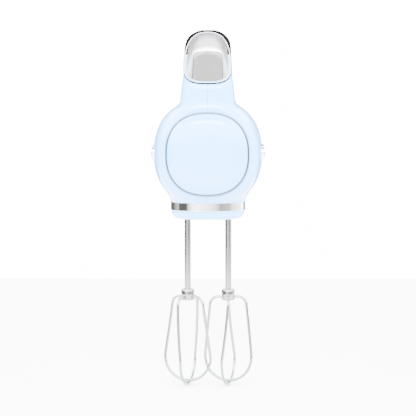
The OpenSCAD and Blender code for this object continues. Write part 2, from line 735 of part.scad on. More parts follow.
module cooling_fan() color("#3d4046") motor_axis() along_y(31) difference() {
    union() {
        cylinder(r = 6, h = 8);
        cylinder(r = 21, h = 1.4);
        for (a = [0 : 36 : 324]) rotate([0, 0, a]) translate([5, -0.6, 0]) cube([15.4, 1.2, 7.6]);
    }
    translate([0, 0, -1]) cylinder(r = motor_shaft_r, h = 40);
}

// ---------------------------------------------------------------- spindles

// Helical teeth that match the worm. A ridge of the worm faces +X and a groove faces -X, so the
// right wheel shows it a gap and the left wheel a tooth
module worm_wheel(side, phase) translate([side * beater_pitch / 2, 0, wheel_z[0]]) {
    height = wheel_z[1] - wheel_z[0];
    twist = -height * worm_lead / (2 * PI * worm_r) / wheel_r * 180 / PI;
    tooth = [[wheel_r - 1.3, 1.0], [wheel_r + 0.85, 0.42], [wheel_r + 0.85, -0.42], [wheel_r - 1.3, -1.0]];
    points = [for (i = [0 : wheel_teeth - 1], p = [3, 2, 1, 0])
        let (t = tooth_pitch * (i + phase), q = tooth[p])
            [q[0] * cos(t) - q[1] * sin(t), q[0] * sin(t) + q[1] * cos(t)]];
    difference() {
        rotate([0, 0, twist / 2]) linear_extrude(height, twist = twist, slices = 4) polygon(points);
        translate([0, 0, -1]) cylinder(r = spindle_r, h = 20);
    }
}
module left_worm_wheel() color("#e9e4d4") worm_wheel(-1, 0);
module right_worm_wheel() color("#e9e4d4") worm_wheel(1, 0.5);

// Stands children on one of the beater axes, turned about it
module at_beater(side, turn) translate([side * beater_pitch / 2, 0, 0]) rotate([0, 0, turn]) children();

// Hollow spindle with slots at its foot for the beater's lugs, and a groove for the clip
module spindle(side, turn) color("#b9bcc0") at_beater(side, turn) difference() {
    union() {
        translate([0, 0, spindle_z[0]]) cylinder(r = spindle_r, h = spindle_z[1] - spindle_z[0]);
        translate([0, 0, wheel_z[0] - 2]) cylinder(r = 7, h = 2);
    }
    cylinder(r = shaft_d / 2 + run, h = 200, center = true);
    translate([-6, -0.85, spindle_z[0] - 1]) cube([12, 1.7, lug_z[1] + 0.6 - spindle_z[0] + 1]);
    translate([0, 0, 38]) rotate_extrude() translate([4.4, 0]) square([2, 1.3]);
}
module left_spindle() spindle(-1, whisk_angle[0]);
module right_spindle() spindle(1, whisk_angle[1]);

module detent_clip(side) color("silver") translate([side * beater_pitch / 2, 0, 38.65])
    rotate([0, 0, 30]) rotate_extrude(angle = 300) translate([5, 0]) circle(r = 0.55, $fn = 24);
module left_detent_clip() detent_clip(-1);
module right_detent_clip() detent_clip(1);

// ---------------------------------------------------------------- beaters

module beater_shaft(side, turn) color(chrome) at_beater(side, turn) {
    difference() {
        translate([0, 0, hub_z[0] + 1]) cylinder(r = shaft_d / 2, h = beater_top - hub_z[0] - 1);
        translate([0, 0, 38.2]) rotate_extrude() translate([shaft_d / 2 - 0.35, 0]) square([2, 1]);
    }
    translate([-4.7, -0.7, lug_z[0]]) cube([9.4, 1.4, lug_z[1] - lug_z[0]]);
}
module left_beater_shaft() beater_shaft(-1, whisk_angle[0]);
module right_beater_shaft() beater_shaft(1, whisk_angle[1]);

module beater_hub(side, turn) color(chrome) at_beater(side, turn) difference() {
    translate([0, 0, hub_z[0]]) cylinder(r = hub_r, h = hub_z[1] - hub_z[0]);
    translate([0, 0, hub_z[0] + 1]) cylinder(r = shaft_d / 2, h = 20);
    for (a = [0, 90]) rotate([0, 0, a]) translate([0, 0, wire_exit_z]) rotate([0, 90, 0])
        cylinder(r = wire_d / 2, h = 20, center = true);
}
module left_beater_hub() beater_hub(-1, whisk_angle[0]);
module right_beater_hub() beater_hub(1, whisk_angle[1]);

// One arm of a loop, from the hub to the foot on the axis, as [radius, height] points:
// a bent shoulder, a straight slope and a round foot
function whisk_arm(foot_z) = let (bend = shoulder_bend, top_r = shoulder_r - bend,
        slope_r = whisk_r * cos(lean), slope_z = foot_z + whisk_r * sin(lean))
    concat(
        [[hub_r - 1.5, wire_exit_z], [mix(hub_r, top_r, 0.6), wire_exit_z]],
        [for (t = [0 : 18 : 90 - lean]) [top_r + bend * sin(t), wire_exit_z - bend * (1 - cos(t))]],
        [for (k = [1 : 6]) [mix(shoulder_r, slope_r, k / 7), mix(wire_exit_z - bend, slope_z, k / 7)]],
        [for (t = [lean : -9 : -86]) [whisk_r * cos(t), foot_z + whisk_r * sin(t)]]
    );

// How far the wire has turned about the axis at a height z
function twist_at(z) = let (from = wire_exit_z - 4)
    whisk_twist * pow(min(1, max(0, (from - z) / (from - whisk_foot_z))), 1.15);

// The whole loop in space: down one arm, over the foot and up the other
function whisk_loop(foot_z, hand) = let (arm = whisk_arm(foot_z), n = len(arm))
    concat(
        [for (p = arm) let (t = hand * twist_at(p[1])) [p[0] * cos(t), p[0] * sin(t), p[1]]],
        [[0, 0, foot_z - whisk_r]],
        [for (i = [n - 1 : -1 : 0]) let (p = arm[i], t = hand * twist_at(p[1]) + 180)
            [p[0] * cos(t), p[0] * sin(t), p[1]]]
    );

// Sweeps a round wire along a path that stays near the plane with the given normal
module wire(path, d, sides = 7) {
    n = len(path);
    dir = function (i) let (a = path[max(0, i - 1)], b = path[min(n - 1, i + 1)]) (b - a) / norm(b - a);
    side_of = function (i) let (t = dir(i), c = cross(t, cross([0, 1, 0], t))) c / norm(c);
    pts = [for (i = [0 : n - 1]) let (t = dir(i), u = side_of(i), w = cross(t, u))
        for (j = [0 : sides - 1]) path[i] + d / 2 * (cos(360 * j / sides) * u + sin(360 * j / sides) * w)];
    faces = [for (i = [0 : n - 2], j = [0 : sides - 1]) let (k = (j + 1) % sides)
        [i * sides + j, (i + 1) * sides + j, (i + 1) * sides + k, i * sides + k]];
    polyhedron(pts, concat([[for (j = [0 : sides - 1]) j]], faces,
        [[for (j = [sides - 1 : -1 : 0]) (n - 1) * sides + j]]));
}

// Two loops at right angles; the second passes under the first
module beater_wires(side, turn, hand) color(chrome) at_beater(side, turn)
    for (k = [0, 1]) rotate([0, 0, 90 * k])
        wire(whisk_loop(whisk_foot_z + (k == 0 ? 1 : -1) * (wire_d / 2 + 0.05), hand), wire_d);
module left_beater_wires() beater_wires(-1, whisk_angle[0], 1);
module right_beater_wires() beater_wires(1, whisk_angle[1], -1);

// ---------------------------------------------------------------- output

placed() left_housing();
placed() right_housing();
placed() nose_cap();
placed() nose_trim_ring();
placed() turret_band();
placed() turret_base();
placed() side_trim_left();
placed() side_trim_right();
placed() top_cover();
placed() display_window();
placed() scoop_bezel();
placed() heel_pad();
placed() cord_inlet_bush();
placed() housing_screws();
placed() screw_plugs();
placed() eject_button();
placed() ejector_fork();
placed() ejector_spring();
placed() speed_slider();
placed() turbo_button();
placed() control_board();
placed() speed_potentiometer();
placed() turbo_switch();
placed() display_module();
placed() power_board();
placed() power_components();
placed() terminal_block();
placed() gearbox_base();
placed() gearbox_cover();
placed() gearbox_screws();
placed() lower_spindle_bushes();
placed() upper_spindle_bushes();
placed() stator_core();
placed() field_coils();
placed() motor_front_bracket();
placed() motor_rear_bracket();
placed() motor_bolts();
placed() motor_bearings();
placed() brush_holders();
placed() carbon_brushes();
placed() motor_shaft();
placed() worm();
placed() armature_core();
placed() armature_windings();
placed() commutator();
placed() cooling_fan();
placed() left_worm_wheel();
placed() left_spindle();
placed() left_detent_clip();
placed() right_worm_wheel();
placed() right_spindle();
placed() right_detent_clip();
placed() left_beater_shaft();
placed() left_beater_hub();
placed() left_beater_wires();
placed() right_beater_shaft();
placed() right_beater_hub();
placed() right_beater_wires();
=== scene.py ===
"""Hand mixer: the visual model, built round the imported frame.

Sizes are in millimetres in the mixer's own frame: its origin is midway between the two beater axes, just
below the beater turret, +Z is up and the nose faces -Y. SHIFT carries that frame into the row frame, in
metres.
"""
import json
import math

import bmesh
import bpy
import numpy as np
import openvdb
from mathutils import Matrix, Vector


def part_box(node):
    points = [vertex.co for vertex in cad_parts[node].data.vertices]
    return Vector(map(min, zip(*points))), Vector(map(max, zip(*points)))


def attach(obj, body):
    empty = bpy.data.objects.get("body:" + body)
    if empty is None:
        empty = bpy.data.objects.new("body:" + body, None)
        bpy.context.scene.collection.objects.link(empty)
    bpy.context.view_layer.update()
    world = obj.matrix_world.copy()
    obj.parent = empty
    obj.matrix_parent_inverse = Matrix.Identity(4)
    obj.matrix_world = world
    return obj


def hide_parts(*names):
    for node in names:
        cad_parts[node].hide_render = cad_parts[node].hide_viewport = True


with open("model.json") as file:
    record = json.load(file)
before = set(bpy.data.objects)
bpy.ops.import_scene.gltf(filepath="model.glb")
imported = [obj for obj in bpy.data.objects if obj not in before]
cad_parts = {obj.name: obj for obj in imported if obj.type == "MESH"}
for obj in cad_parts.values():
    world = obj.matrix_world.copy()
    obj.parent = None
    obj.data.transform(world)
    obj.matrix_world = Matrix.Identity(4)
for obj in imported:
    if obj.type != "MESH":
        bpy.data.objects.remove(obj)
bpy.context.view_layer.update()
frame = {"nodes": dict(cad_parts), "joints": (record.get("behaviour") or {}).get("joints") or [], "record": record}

MM = 0.001
JOINTS = {j["name"]: j for j in frame["joints"]}
GRIP_CENTRE = (0, 62, 134.75)   # the row frame's origin
SHIFT = -np.array(GRIP_CENTRE) * MM
BEATER_X = JOINTS["right_drive_spin"]["pos_m"][0] / MM


def cad(node):
    """A CAD node's lowest and highest corners in the mixer's frame, in millimetres."""
    return [(np.array(corner) - SHIFT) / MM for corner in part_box(node)]


# -------------------------------------------------------------------------------- camera
AIM = (0, 0, 9)              # what the middle of the picture looks at
AZIMUTH, ELEVATION = 0.9, 4.0
DISTANCE = 1300
FRAME_WIDTH = 327.4          # what the picture spans at the beaters

camera = bpy.data.objects.new("camera", bpy.data.cameras.new("camera"))
bpy.context.scene.collection.objects.link(camera)
bpy.context.scene.camera = camera
back = Vector((math.sin(math.radians(AZIMUTH)) * math.cos(math.radians(ELEVATION)),
               -math.cos(math.radians(AZIMUTH)) * math.cos(math.radians(ELEVATION)),
               math.sin(math.radians(ELEVATION))))
aim = Vector(np.array(AIM) * MM + SHIFT)
camera.location = aim + back * DISTANCE * MM
camera.rotation_euler = back.to_track_quat("Z", "Y").to_euler()
camera.data.lens = camera.data.sensor_width * DISTANCE / FRAME_WIDTH
camera.data.clip_end = 20

# -------------------------------------------------------------------------------- the mixer's sizes
BODY_R, BODY_MID, BODY_FRONT, FRONT_R = 42.5, 5, 35, 33.2
BODY_Z, BODY_N = 52.5, 2.3
HEEL, HEEL_R, HEEL_ROUND, HEEL_LIFT = 150, 29, 6, 6
NOSE_N, RING_R, RING_W = 2.35, 32.1, 1.1
TURRET_A, TURRET_B, TURRET_N, TURRET_ROUND = 28.9, 24.6, 2.3, 5.5
BASE_Z, BAND_Z = 1.1, (7.6, 14.6)
HANDLE_TOP, HANDLE_FOOT, GRIP_W = 149, 68, 34.6
OPENING_Y = 62               # the middle of the hand's opening: riser ahead of it, rear post behind
FRONT_PIVOT, FRONT_IN, RISER_FRONT = (21, 112.5), 8, 34
REAR_PIVOT, REAR_IN = (104, 110.5), 10
GRIP_DROP = 5
GRIP_N, RISER_N, POST_N = 2.1, 4.4, 2.6    # how square the handle's section is at each place
POST_W = 19                  # the rear post's half width at its top
WALL = 2.4
SCOOP_FOOT, SCOOP_HEAD, SCOOP_DEEP = (-33, 106.5), (-14, 147), 10.5
SCOOP_TILT = math.atan2(SCOOP_HEAD[0] - SCOOP_FOOT[0], SCOOP_HEAD[1] - SCOOP_FOOT[1])
SCOOP_LEN = math.hypot(SCOOP_HEAD[0] - SCOOP_FOOT[0], SCOOP_HEAD[1] - SCOOP_FOOT[1])
SCOOP_HALF, SCOOP_WAIST = 18, 14     # half width, and how far up the scoop is widest
SCOOP_GAP = 0.6              # what the scoop's outline leaves free of its plane at the foot and at the head
COVER_FRONT, COVER_REAR = (-24, 128), (66, 148.8)
SEAM = 0.24                  # the gap between the two shells
TURRET_GAP, RING_GAP, PAD_GAP, TRIM_GAP = 0.55, 0.12, 0.25, 0.2    # the shells' clearance round each part
VENT_Y, VENT_PITCH = 127, 5.2


# -------------------------------------------------------------------------------- outlines and meshes
def round_the_circle(k):
    """Cosines and sines of k even steps."""
    t = np.arange(k) * 2 * math.pi / k
    return np.cos(t), np.sin(t)


def squared(c, n):
    """A cosine or sine bent towards a superellipse with exponent n."""
    return np.sign(c) * np.abs(c) ** (2 / n)


def superellipse(a, b, n, k=96):
    """An outline of half sizes a and b; the larger n is, the squarer it is."""
    c, s = round_the_circle(k)
    return np.stack([a * squared(c, n), b * squared(s, n)], 1)


def rounded_rectangle(half_x, half_y, r, k=12):
    """An outline of straight sides and round corners, with k steps in each corner."""
    corners = []
    for quarter, (sx, sy) in enumerate([(1, 1), (-1, 1), (-1, -1), (1, -1)]):
        t = (quarter + np.arange(k + 1) / k) * math.pi / 2
        corners.append(np.stack([sx * (half_x - r) + r * np.cos(t), sy * (half_y - r) + r * np.sin(t)], 1))
    return np.concatenate(corners)


def grid_faces(rows, cols, wrap_rows=False):
    """Quads of a grid whose columns wrap round; the rows wrap too where a profile is closed."""
    faces = []
    for i in range(rows if wrap_rows else rows - 1):
        for j in range(cols):
            a, b = i * cols + j, i * cols + (j + 1) % cols
            c, d = (i + 1) % rows * cols + (j + 1) % cols, (i + 1) % rows * cols + j
            faces.append((a, b, c, d))
    return faces


def loft(rings, caps=True, closed=False):
    """Points and faces of a skin through rings of equal length."""
    rings = [np.asarray(r, float) for r in rings]
    cols = len(rings[0])
    faces = grid_faces(len(rings), cols, closed)
    if caps and not closed:
        faces.append(tuple(range(cols - 1, -1, -1)))
        faces.append(tuple(range((len(rings) - 1) * cols, len(rings) * cols)))
    return np.concatenate(rings), faces


def flat_ring(outline, z):
    return np.column_stack([outline, np.full(len(outline), z)])


def rotation(axis_x, axis_y, axis_z, at):
    """Carries local points to a place whose axes are given as columns."""
    basis = np.array([axis_x, axis_y, axis_z], float)
    return lambda points: np.asarray(points) @ basis + np.array(at, float)


def across_y(at):
    """Local x stays across, local y goes up, local z comes forward out of the nose."""
    return rotation((1, 0, 0), (0, 0, 1), (0, -1, 0), at)


def facing(side, at):
    """Local x along Y, local y up, local z out of the mixer's side."""
    return rotation((0, side, 0), (0, 0, 1), (side, 0, 0), at)


TILT_UP = (0, math.sin(SCOOP_TILT), math.cos(SCOOP_TILT))
TILT_OUT = (0, -math.cos(SCOOP_TILT), math.sin(SCOOP_TILT))
on_scoop = rotation((1, 0, 0), TILT_UP, TILT_OUT, (0, *SCOOP_FOOT))


def mesh_object(name, points, faces):
    mesh = bpy.data.meshes.new(name)
    mesh.from_pydata(np.asarray(points).tolist(), [], [tuple(map(int, f)) for f in faces])
    mesh.validate()
    ob = bpy.data.objects.new(name, mesh)
    bpy.context.scene.collection.objects.link(ob)
    return ob


def outward(ob):
    """Turns every face outwards."""
    bm = bmesh.new()
    bm.from_mesh(ob.data)
    bmesh.ops.recalc_face_normals(bm, faces=bm.faces)
    bm.to_mesh(ob.data)
    bm.free()
    return ob


def solid(name, parts):
    """One object from several (points, faces) parts, in the mixer's frame."""
    points, faces, base = [], [], 0
    for p, f in parts:
        points.append(np.asarray(p, float))
        faces += [tuple(i + base for i in face) for face in f]
        base += len(p)
    return outward(mesh_object(name, np.concatenate(points), faces))


def carve(ob, cutter, operation="DIFFERENCE"):
    """Cuts one closed mesh by another and drops the cutter."""
    change = ob.modifiers.new("cut", "BOOLEAN")
    change.solver, change.operation, change.object = "MANIFOLD", operation, cutter
    made = bpy.data.meshes.new_from_object(ob.evaluated_get(bpy.context.evaluated_depsgraph_get()))
    ob.modifiers.clear()
    old, ob.data = ob.data, made
    bpy.data.meshes.remove(old)
    bpy.data.objects.remove(cutter)


def finish_piece(ob, body, look, replaces=(), sharp=30):
    """Brings a piece from the mixer's frame into the row frame, shades it and ties it to its body."""
    mesh = ob.data
    co = np.empty(len(mesh.vertices) * 3)
    mesh.vertices.foreach_get("co", co)
    co = co.reshape(-1, 3) * MM + SHIFT
    mesh.vertices.foreach_set("co", co.ravel())
    mesh.update()
    mesh.materials.clear()
    mesh.materials.append(look)
    if sharp:
        mesh.shade_smooth()
        mesh.set_sharp_from_angle(angle=math.radians(sharp))
    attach(ob, body)
    if replaces:
        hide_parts(*replaces)


def prism(outline, z0, z1, carry=lambda p: p):
    return loft([carry(flat_ring(outline, z0)), carry(flat_ring(outline, z1))])


def puck(outline_of, profile, carry=lambda p: p):
    """A lofted solid: profile is a list of (inset, height); outline_of gives the outline at an inset."""
    return loft([carry(flat_ring(outline_of(inset), z)) for inset, z in profile])


def rounded_edge(r, steps, z_top):
    """Profile points of a quarter-round edge: from the side, up and over onto the top."""
    t = np.linspace(0, math.pi / 2, steps + 1)
    return [(r * (1 - math.cos(a)), z_top - r * (1 - math.sin(a))) for a in t]


def tube(path, radius, sides=16):
    """A round wire along a smooth open path."""
    path = np.asarray(path, float)
    tangent = np.gradient(path, axis=0)
    tangent /= np.linalg.norm(tangent, axis=1)[:, None]
    side = np.cross(tangent[0], (0.3, 0.5, 0.8))
    rings = []
    for p, t in zip(path, tangent):
        side = side - t * np.dot(side, t)
        side /= np.linalg.norm(side)
        other = np.cross(t, side)
        c, s = round_the_circle(sides)
        rings.append(p + radius * (c[:, None] * side + s[:, None] * other))
    return loft(rings)


def lathe(profile, at, sides=64):
    """A turned solid about +Z: profile is a list of (radius, height)."""
    ring = np.stack(round_the_circle(sides), 1)
    return loft([flat_ring(ring * r, z) + np.array(at, float) for r, z in profile])


# -------------------------------------------------------------------------------- the moulded form
# Each field is about the distance from a surface: less than 0 inside, more than 0 outside.
def power_distance(parts, n):
    """Distance from a superellipse surface: parts are (coordinate, half size) pairs."""
    scaled = [np.abs(c) / h for c, h in parts]
    total = sum(s ** n for s in scaled) + 1e-9
    slope = total ** (1 / n - 1) * np.sqrt(sum((s ** (n - 1) / h) ** 2 for s, (_, h) in zip(scaled, parts)))
    return (total ** (1 / n) - 1) / np.maximum(slope, 0.015)


def body_field(x, y, z):
    """The motor body: a pillow-shaped front, and a tail that narrows and lifts towards the heel."""
    tail = np.clip((y - BODY_MID) / (HEEL - BODY_MID), 0, 1.1)
    r = (np.abs(x) ** BODY_N + np.abs(z - BODY_Z - HEEL_LIFT * tail ** 2) ** BODY_N) ** (1 / BODY_N)
    front = power_distance([(np.minimum(y - BODY_MID, 0), BODY_MID + BODY_FRONT),
                            (np.maximum(r - FRONT_R, 0), BODY_R - FRONT_R)], 2.2)
    side = r - (BODY_R - (BODY_R - HEEL_R) * tail ** 2.2) + HEEL_ROUND
    end = y - HEEL + HEEL_ROUND
    corner = np.hypot(np.maximum(side, 0), np.maximum(end, 0))
    rear = np.minimum(np.maximum(side, end), 0) + corner - HEEL_ROUND
    return np.where(y < BODY_MID, front, rear)


def corner_reach(t, along, up, n):
    """How far a superellipse corner reaches from its pivot, in the direction t."""
    return ((np.abs(np.cos(t)) / along) ** n + (np.abs(np.sin(t)) / up) ** n) ** (-1 / n)


def handle_profile(y, z):
    """At a place in the side view: offset from the middle, half thickness, half width and exponent."""
    y, z = np.broadcast_arrays(np.asarray(y, float), np.asarray(z, float))
    wide = GRIP_W / 2
    along_grip = np.clip((y - FRONT_PIVOT[0]) / (REAR_PIVOT[0] - FRONT_PIVOT[0]), 0, 1)
    # grip
    top, under = HANDLE_TOP - GRIP_DROP * along_grip ** 2, FRONT_PIVOT[1] + FRONT_IN
    offset, thick = z - (top + under) / 2, (top - under) / 2
    width, n = wide - 0.6 * np.sin(math.pi * along_grip), np.full_like(y, GRIP_N)
    # front corner
    here = (y < FRONT_PIVOT[0]) & (z >= FRONT_PIVOT[1])
    t = np.arctan2(z - FRONT_PIVOT[1], y - FRONT_PIVOT[0])
    share = np.clip(t / (math.pi / 2) - 1, 0, 1)
    reach = corner_reach(t, RISER_FRONT + FRONT_PIVOT[0] - 1, HANDLE_TOP - FRONT_PIVOT[1], 3.6)
    far = np.hypot(y - FRONT_PIVOT[0], z - FRONT_PIVOT[1])
    offset = np.where(here, far - (reach + FRONT_IN) / 2, offset)
    thick = np.where(here, (reach - FRONT_IN) / 2, thick)
    width = np.where(here, wide + (18.8 - wide) * share, width)
    n = np.where(here, GRIP_N + (RISER_N - GRIP_N) * share ** 2.2, n)
    # rear corner
    here = (y > REAR_PIVOT[0]) & (z >= REAR_PIVOT[1])
    t = np.arctan2(z - REAR_PIVOT[1], y - REAR_PIVOT[0])
    share = np.clip(1 - t / (math.pi / 2), 0, 1)
    reach = corner_reach(t, HEEL - REAR_PIVOT[0], HANDLE_TOP - GRIP_DROP - REAR_PIVOT[1], 2.7)
    far = np.hypot(y - REAR_PIVOT[0], z - REAR_PIVOT[1])
    offset = np.where(here, far - (reach + REAR_IN) / 2, offset)
    thick = np.where(here, (reach - REAR_IN) / 2, thick)
    width = np.where(here, wide + (POST_W - wide) * share, width)
    n = np.where(here, GRIP_N + (POST_N - GRIP_N) * share, n)
    # riser
    here = (z < FRONT_PIVOT[1]) & (y < OPENING_Y)
    front, rear = -RISER_FRONT + 0.05 * (z - 88), FRONT_PIVOT[0] - FRONT_IN
    offset = np.where(here, y - (front + rear) / 2, offset)
    thick = np.where(here, (rear - front) / 2, thick)
    width = np.where(here, 21.9 - 0.00225 * (z - 76) ** 2, width)
    n = np.where(here, RISER_N, n)
    # rear post
    here = (z < REAR_PIVOT[1]) & (y >= OPENING_Y)
    front = REAR_PIVOT[0] + REAR_IN
    offset = np.where(here, y - (front + HEEL) / 2, offset)
    thick = np.where(here, (HEEL - front) / 2, thick)
    width = np.where(here, POST_W + 0.1 * (REAR_PIVOT[1] - z), width)
    n = np.where(here, POST_N, n)
    return offset, thick, width, n


def handle_field(x, y, z):
    """The loop handle: grip, two corners, riser and rear post."""
    offset, thick, width, n = handle_profile(y, z)
    return np.maximum(power_distance([(x, width), (offset, thick)], n), HANDLE_FOOT - z)


def turret_field(x, y, z):
    """The part of the shells that comes down round the turret."""
    side = power_distance([(x, TURRET_A - 0.3), (y, TURRET_B - 0.3)], TURRET_N)
    return np.maximum(side, np.maximum(8 - z, z - 34))


def blend_min(a, b, k):
    """Joins two fields with a fillet of about k."""
    h = np.maximum(k - np.abs(a - b), 0) / k
    return np.minimum(a, b) - h * h * k / 4


def housing_field(x, y, z):
    """The whole moulded form, cut flat at the nose and at the heel."""
    form = blend_min(body_field(x, y, z), handle_field(x, y, z), 3.5)
    form = blend_min(form, turret_field(x, y, z), 6)
    return np.maximum(form, np.maximum(-BODY_FRONT - y, y - HEEL))


def slope(field, p, eps=0.02):
    """The field's gradient at points p."""
    g = np.empty_like(p)
    for k in range(3):
        step = np.zeros(3)
        step[k] = eps
        g[:, k] = (field(*(p + step).T) - field(*(p - step).T)) / (2 * eps)
    return g


def field_skin(name, field, lo, hi, step):
    """A closed quad mesh on the field's zero surface, every point pulled onto it."""
    far = 4.0                # the field is held level further than this from its surface
    axes = [np.arange(a, b + step, step) for a, b in zip(lo, hi)]
    values = np.clip(field(*np.ix_(*axes)), -far, far).astype(np.float32)
    grid = openvdb.FloatGrid(far)
    grid.copyFromArray(np.ascontiguousarray(values))
    points, quads = grid.convertToQuads(0.0)
    points = points * step + np.array(lo, float)
    for _ in range(3):
        g = slope(field, points)
        move = field(*points.T)[:, None] * g / np.maximum((g * g).sum(1), 0.05)[:, None]
        points -= np.clip(move, -0.3 * step, 0.3 * step)
    return outward(mesh_object(name, points, quads))


def field_normals(ob, field, near=0.05):
    """Shades the faces that lie on the field's surface by the field itself, and the rest flat."""
    mesh = ob.data
    co = np.empty(len(mesh.vertices) * 3)
    mesh.vertices.foreach_get("co", co)
    co = co.reshape(-1, 3)
    g = slope(field, co)
    g /= np.maximum(np.linalg.norm(g, axis=1), 1e-6)[:, None]
    on = np.abs(field(*co.T)) < near
    loops = np.empty(len(mesh.loops), np.int64)
    mesh.loops.foreach_get("vertex_index", loops)
    starts = np.empty(len(mesh.polygons), np.int64)
    totals = np.empty(len(mesh.polygons), np.int64)
    mesh.polygons.foreach_get("loop_start", starts)
    mesh.polygons.foreach_get("loop_total", totals)
    face_n = np.empty(len(mesh.polygons) * 3)
    mesh.polygons.foreach_get("normal", face_n)
    face_n = face_n.reshape(-1, 3)
    of_face = np.repeat(np.arange(len(totals)), totals)
    agrees = (g[loops] * face_n[of_face]).sum(1) > 0.75
    good = np.logical_and.reduceat(on[loops] & agrees, starts)
    normals = np.where(good[of_face][:, None], g[loops], face_n[of_face])
    mesh.shade_smooth()
    mesh.normals_split_custom_set(normals.tolist())
    return ob


# -------------------------------------------------------------------------------- materials
def socket(node, name, value):
    if name in node.inputs:
        node.inputs[name].default_value = value


def material(name, colour, rough, metallic=0.0, rough_spread=0.04, grain=900, bump=0.02, tint=0.03,
             coat=0.0, stretch=(1, 1, 1), ior=1.47, anisotropic=0.0, specular=0.5):
    """A surface whose colour, roughness and fine bump vary with noise in the object's own space."""
    broad_share, bump_height, coat_rough = 0.04, 0.0002, 0.03
    mat = bpy.data.materials.new(name)
    mat.use_nodes = True
    nodes, links = mat.node_tree.nodes, mat.node_tree.links
    shader = nodes["Principled BSDF"]
    socket(shader, "Metallic", metallic)
    socket(shader, "IOR", ior)
    socket(shader, "Specular IOR Level", specular)
    socket(shader, "Coat Weight", coat)
    socket(shader, "Coat Roughness", coat_rough)
    socket(shader, "Anisotropic", anisotropic)
    place = nodes.new("ShaderNodeTexCoord")
    scale = nodes.new("ShaderNodeMapping")
    scale.inputs["Scale"].default_value = stretch
    links.new(place.outputs["Object"], scale.inputs["Vector"])
    broad, fine = nodes.new("ShaderNodeTexNoise"), nodes.new("ShaderNodeTexNoise")
    broad.inputs["Scale"].default_value = grain * broad_share
    fine.inputs["Scale"].default_value = grain
    broad.inputs["Detail"].default_value = fine.inputs["Detail"].default_value = 4
    for noise in (broad, fine):
        links.new(scale.outputs["Vector"], noise.inputs["Vector"])
    mix = nodes.new("ShaderNodeMix")
    mix.data_type = "RGBA"
    mix.inputs["A"].default_value = (*[c * (1 - tint) for c in colour], 1)
    mix.inputs["B"].default_value = (*[min(1, c * (1 + tint)) for c in colour], 1)
    links.new(broad.outputs["Fac"], mix.inputs["Factor"])
    links.new(mix.outputs["Result"], shader.inputs["Base Color"])
    spread = nodes.new("ShaderNodeMapRange")
    spread.inputs["To Min"].default_value = max(0.02, rough - rough_spread)
    spread.inputs["To Max"].default_value = rough + rough_spread
    links.new(fine.outputs["Fac"], spread.inputs["Value"])
    links.new(spread.outputs["Result"], shader.inputs["Roughness"])
    if bump:
        relief = nodes.new("ShaderNodeBump")
        relief.inputs["Strength"].default_value = bump
        relief.inputs["Distance"].default_value = bump_height
        links.new(fine.outputs["Fac"], relief.inputs["Height"])
        links.new(relief.outputs["Normal"], shader.inputs["Normal"])
    return mat


LOOKS = {
    "shell_blue": material("pastel_blue_gloss", (0.145, 0.445, 0.94), 0.10, rough_spread=0.02, grain=400,
                           bump=0.004, tint=0.008, coat=0.1),
    "trim_chrome": material("chrome", (0.84, 0.845, 0.85), 0.04, metallic=1, rough_spread=0.01, bump=0.004,
                            tint=0.01),
    # The nose ring's colour is satin metal made much darker. The extra darkness is painted shade for the shadow
    # along the narrow groove the ring sits in.
    "ring_satin": material("dark_ring_painted_groove_shade", (0.13, 0.125, 0.12), 0.22, metallic=1, rough_spread=0.05,
                           tint=0.02),
    "cover_black": material("black_gloss", (0.004, 0.004, 0.005), 0.24, rough_spread=0.02, bump=0.004,
                            ior=1.0),
    "display_dark": material("smoked_window", (0.03, 0.032, 0.036), 0.05, rough_spread=0.01, bump=0,
                             coat=0.6),
    "button_satin": material("satin_silver", (0.42, 0.42, 0.43), 0.2, metallic=1, rough_spread=0.06,
                             bump=0.03, stretch=(1, 14, 1), anisotropic=0.2),
    "heel_rubber": material("grey_rubber", (0.27, 0.31, 0.34), 0.62, bump=0.25, tint=0.08),
    "beater_steel": material("polished_steel", (0.22, 0.22, 0.224), 0.14, metallic=1, rough_spread=0.05,
                             bump=0.02, stretch=(1, 1, 0.1)),
    "steel": material("ground_steel", (0.55, 0.55, 0.56), 0.3, metallic=1, rough_spread=0.08, bump=0.06,
                      stretch=(1, 1, 0.1)),
    "bearing_bronze": material("sintered_bronze", (0.56, 0.38, 0.17), 0.42, metallic=1, bump=0.15,
                               tint=0.1),
    "brass": material("brass", (0.78, 0.58, 0.24), 0.3, metallic=1, tint=0.06),
    "copper": material("copper_wire", (0.72, 0.32, 0.14), 0.3, metallic=0.8, bump=0.3, tint=0.15,
                       stretch=(1, 6, 6)),
    "lamination": material("steel_laminations", (0.33, 0.34, 0.36), 0.45, metallic=0.9, bump=0.4,
                           stretch=(0.2, 8, 0.2)),
    "carbon": material("carbon", (0.03, 0.03, 0.032), 0.6, bump=0.2, tint=0.2),
    "frame_plastic": material("moulded_nylon", (0.74, 0.72, 0.65), 0.45, bump=0.08, tint=0.05),
    "gear_plastic": material("acetal", (0.85, 0.82, 0.72), 0.35, bump=0.04, tint=0.03),
    "fan_plastic": material("dark_nylon", (0.05, 0.055, 0.065), 0.45, bump=0.08, tint=0.1),
    "board_green": material("solder_resist", (0.03, 0.16, 0.07), 0.3, bump=0.05, tint=0.2),
    "component_dark": material("component_plastic", (0.05, 0.055, 0.06), 0.4, bump=0.08, tint=0.2),
    "bracket_zinc": material("die_cast_zinc", (0.5, 0.51, 0.53), 0.42, metallic=0.9, bump=0.15, tint=0.08),
}
SATIN_CHROME = material("satin_chrome", (0.40, 0.40, 0.40), 0.42, metallic=1, bump=0.01, tint=0.01)
SLOT_OF = {part["node"]: part["material_slot"] for part in frame["record"]["subparts"]}
BODIES = frame["record"]["behaviour"]["bodies"]
BODY_OF = {node: body for body, members in BODIES.items() for node in members}
for node, ob in frame["nodes"].items():
    ob.data.materials.clear()
    ob.data.materials.append(LOOKS[SLOT_OF[node]])


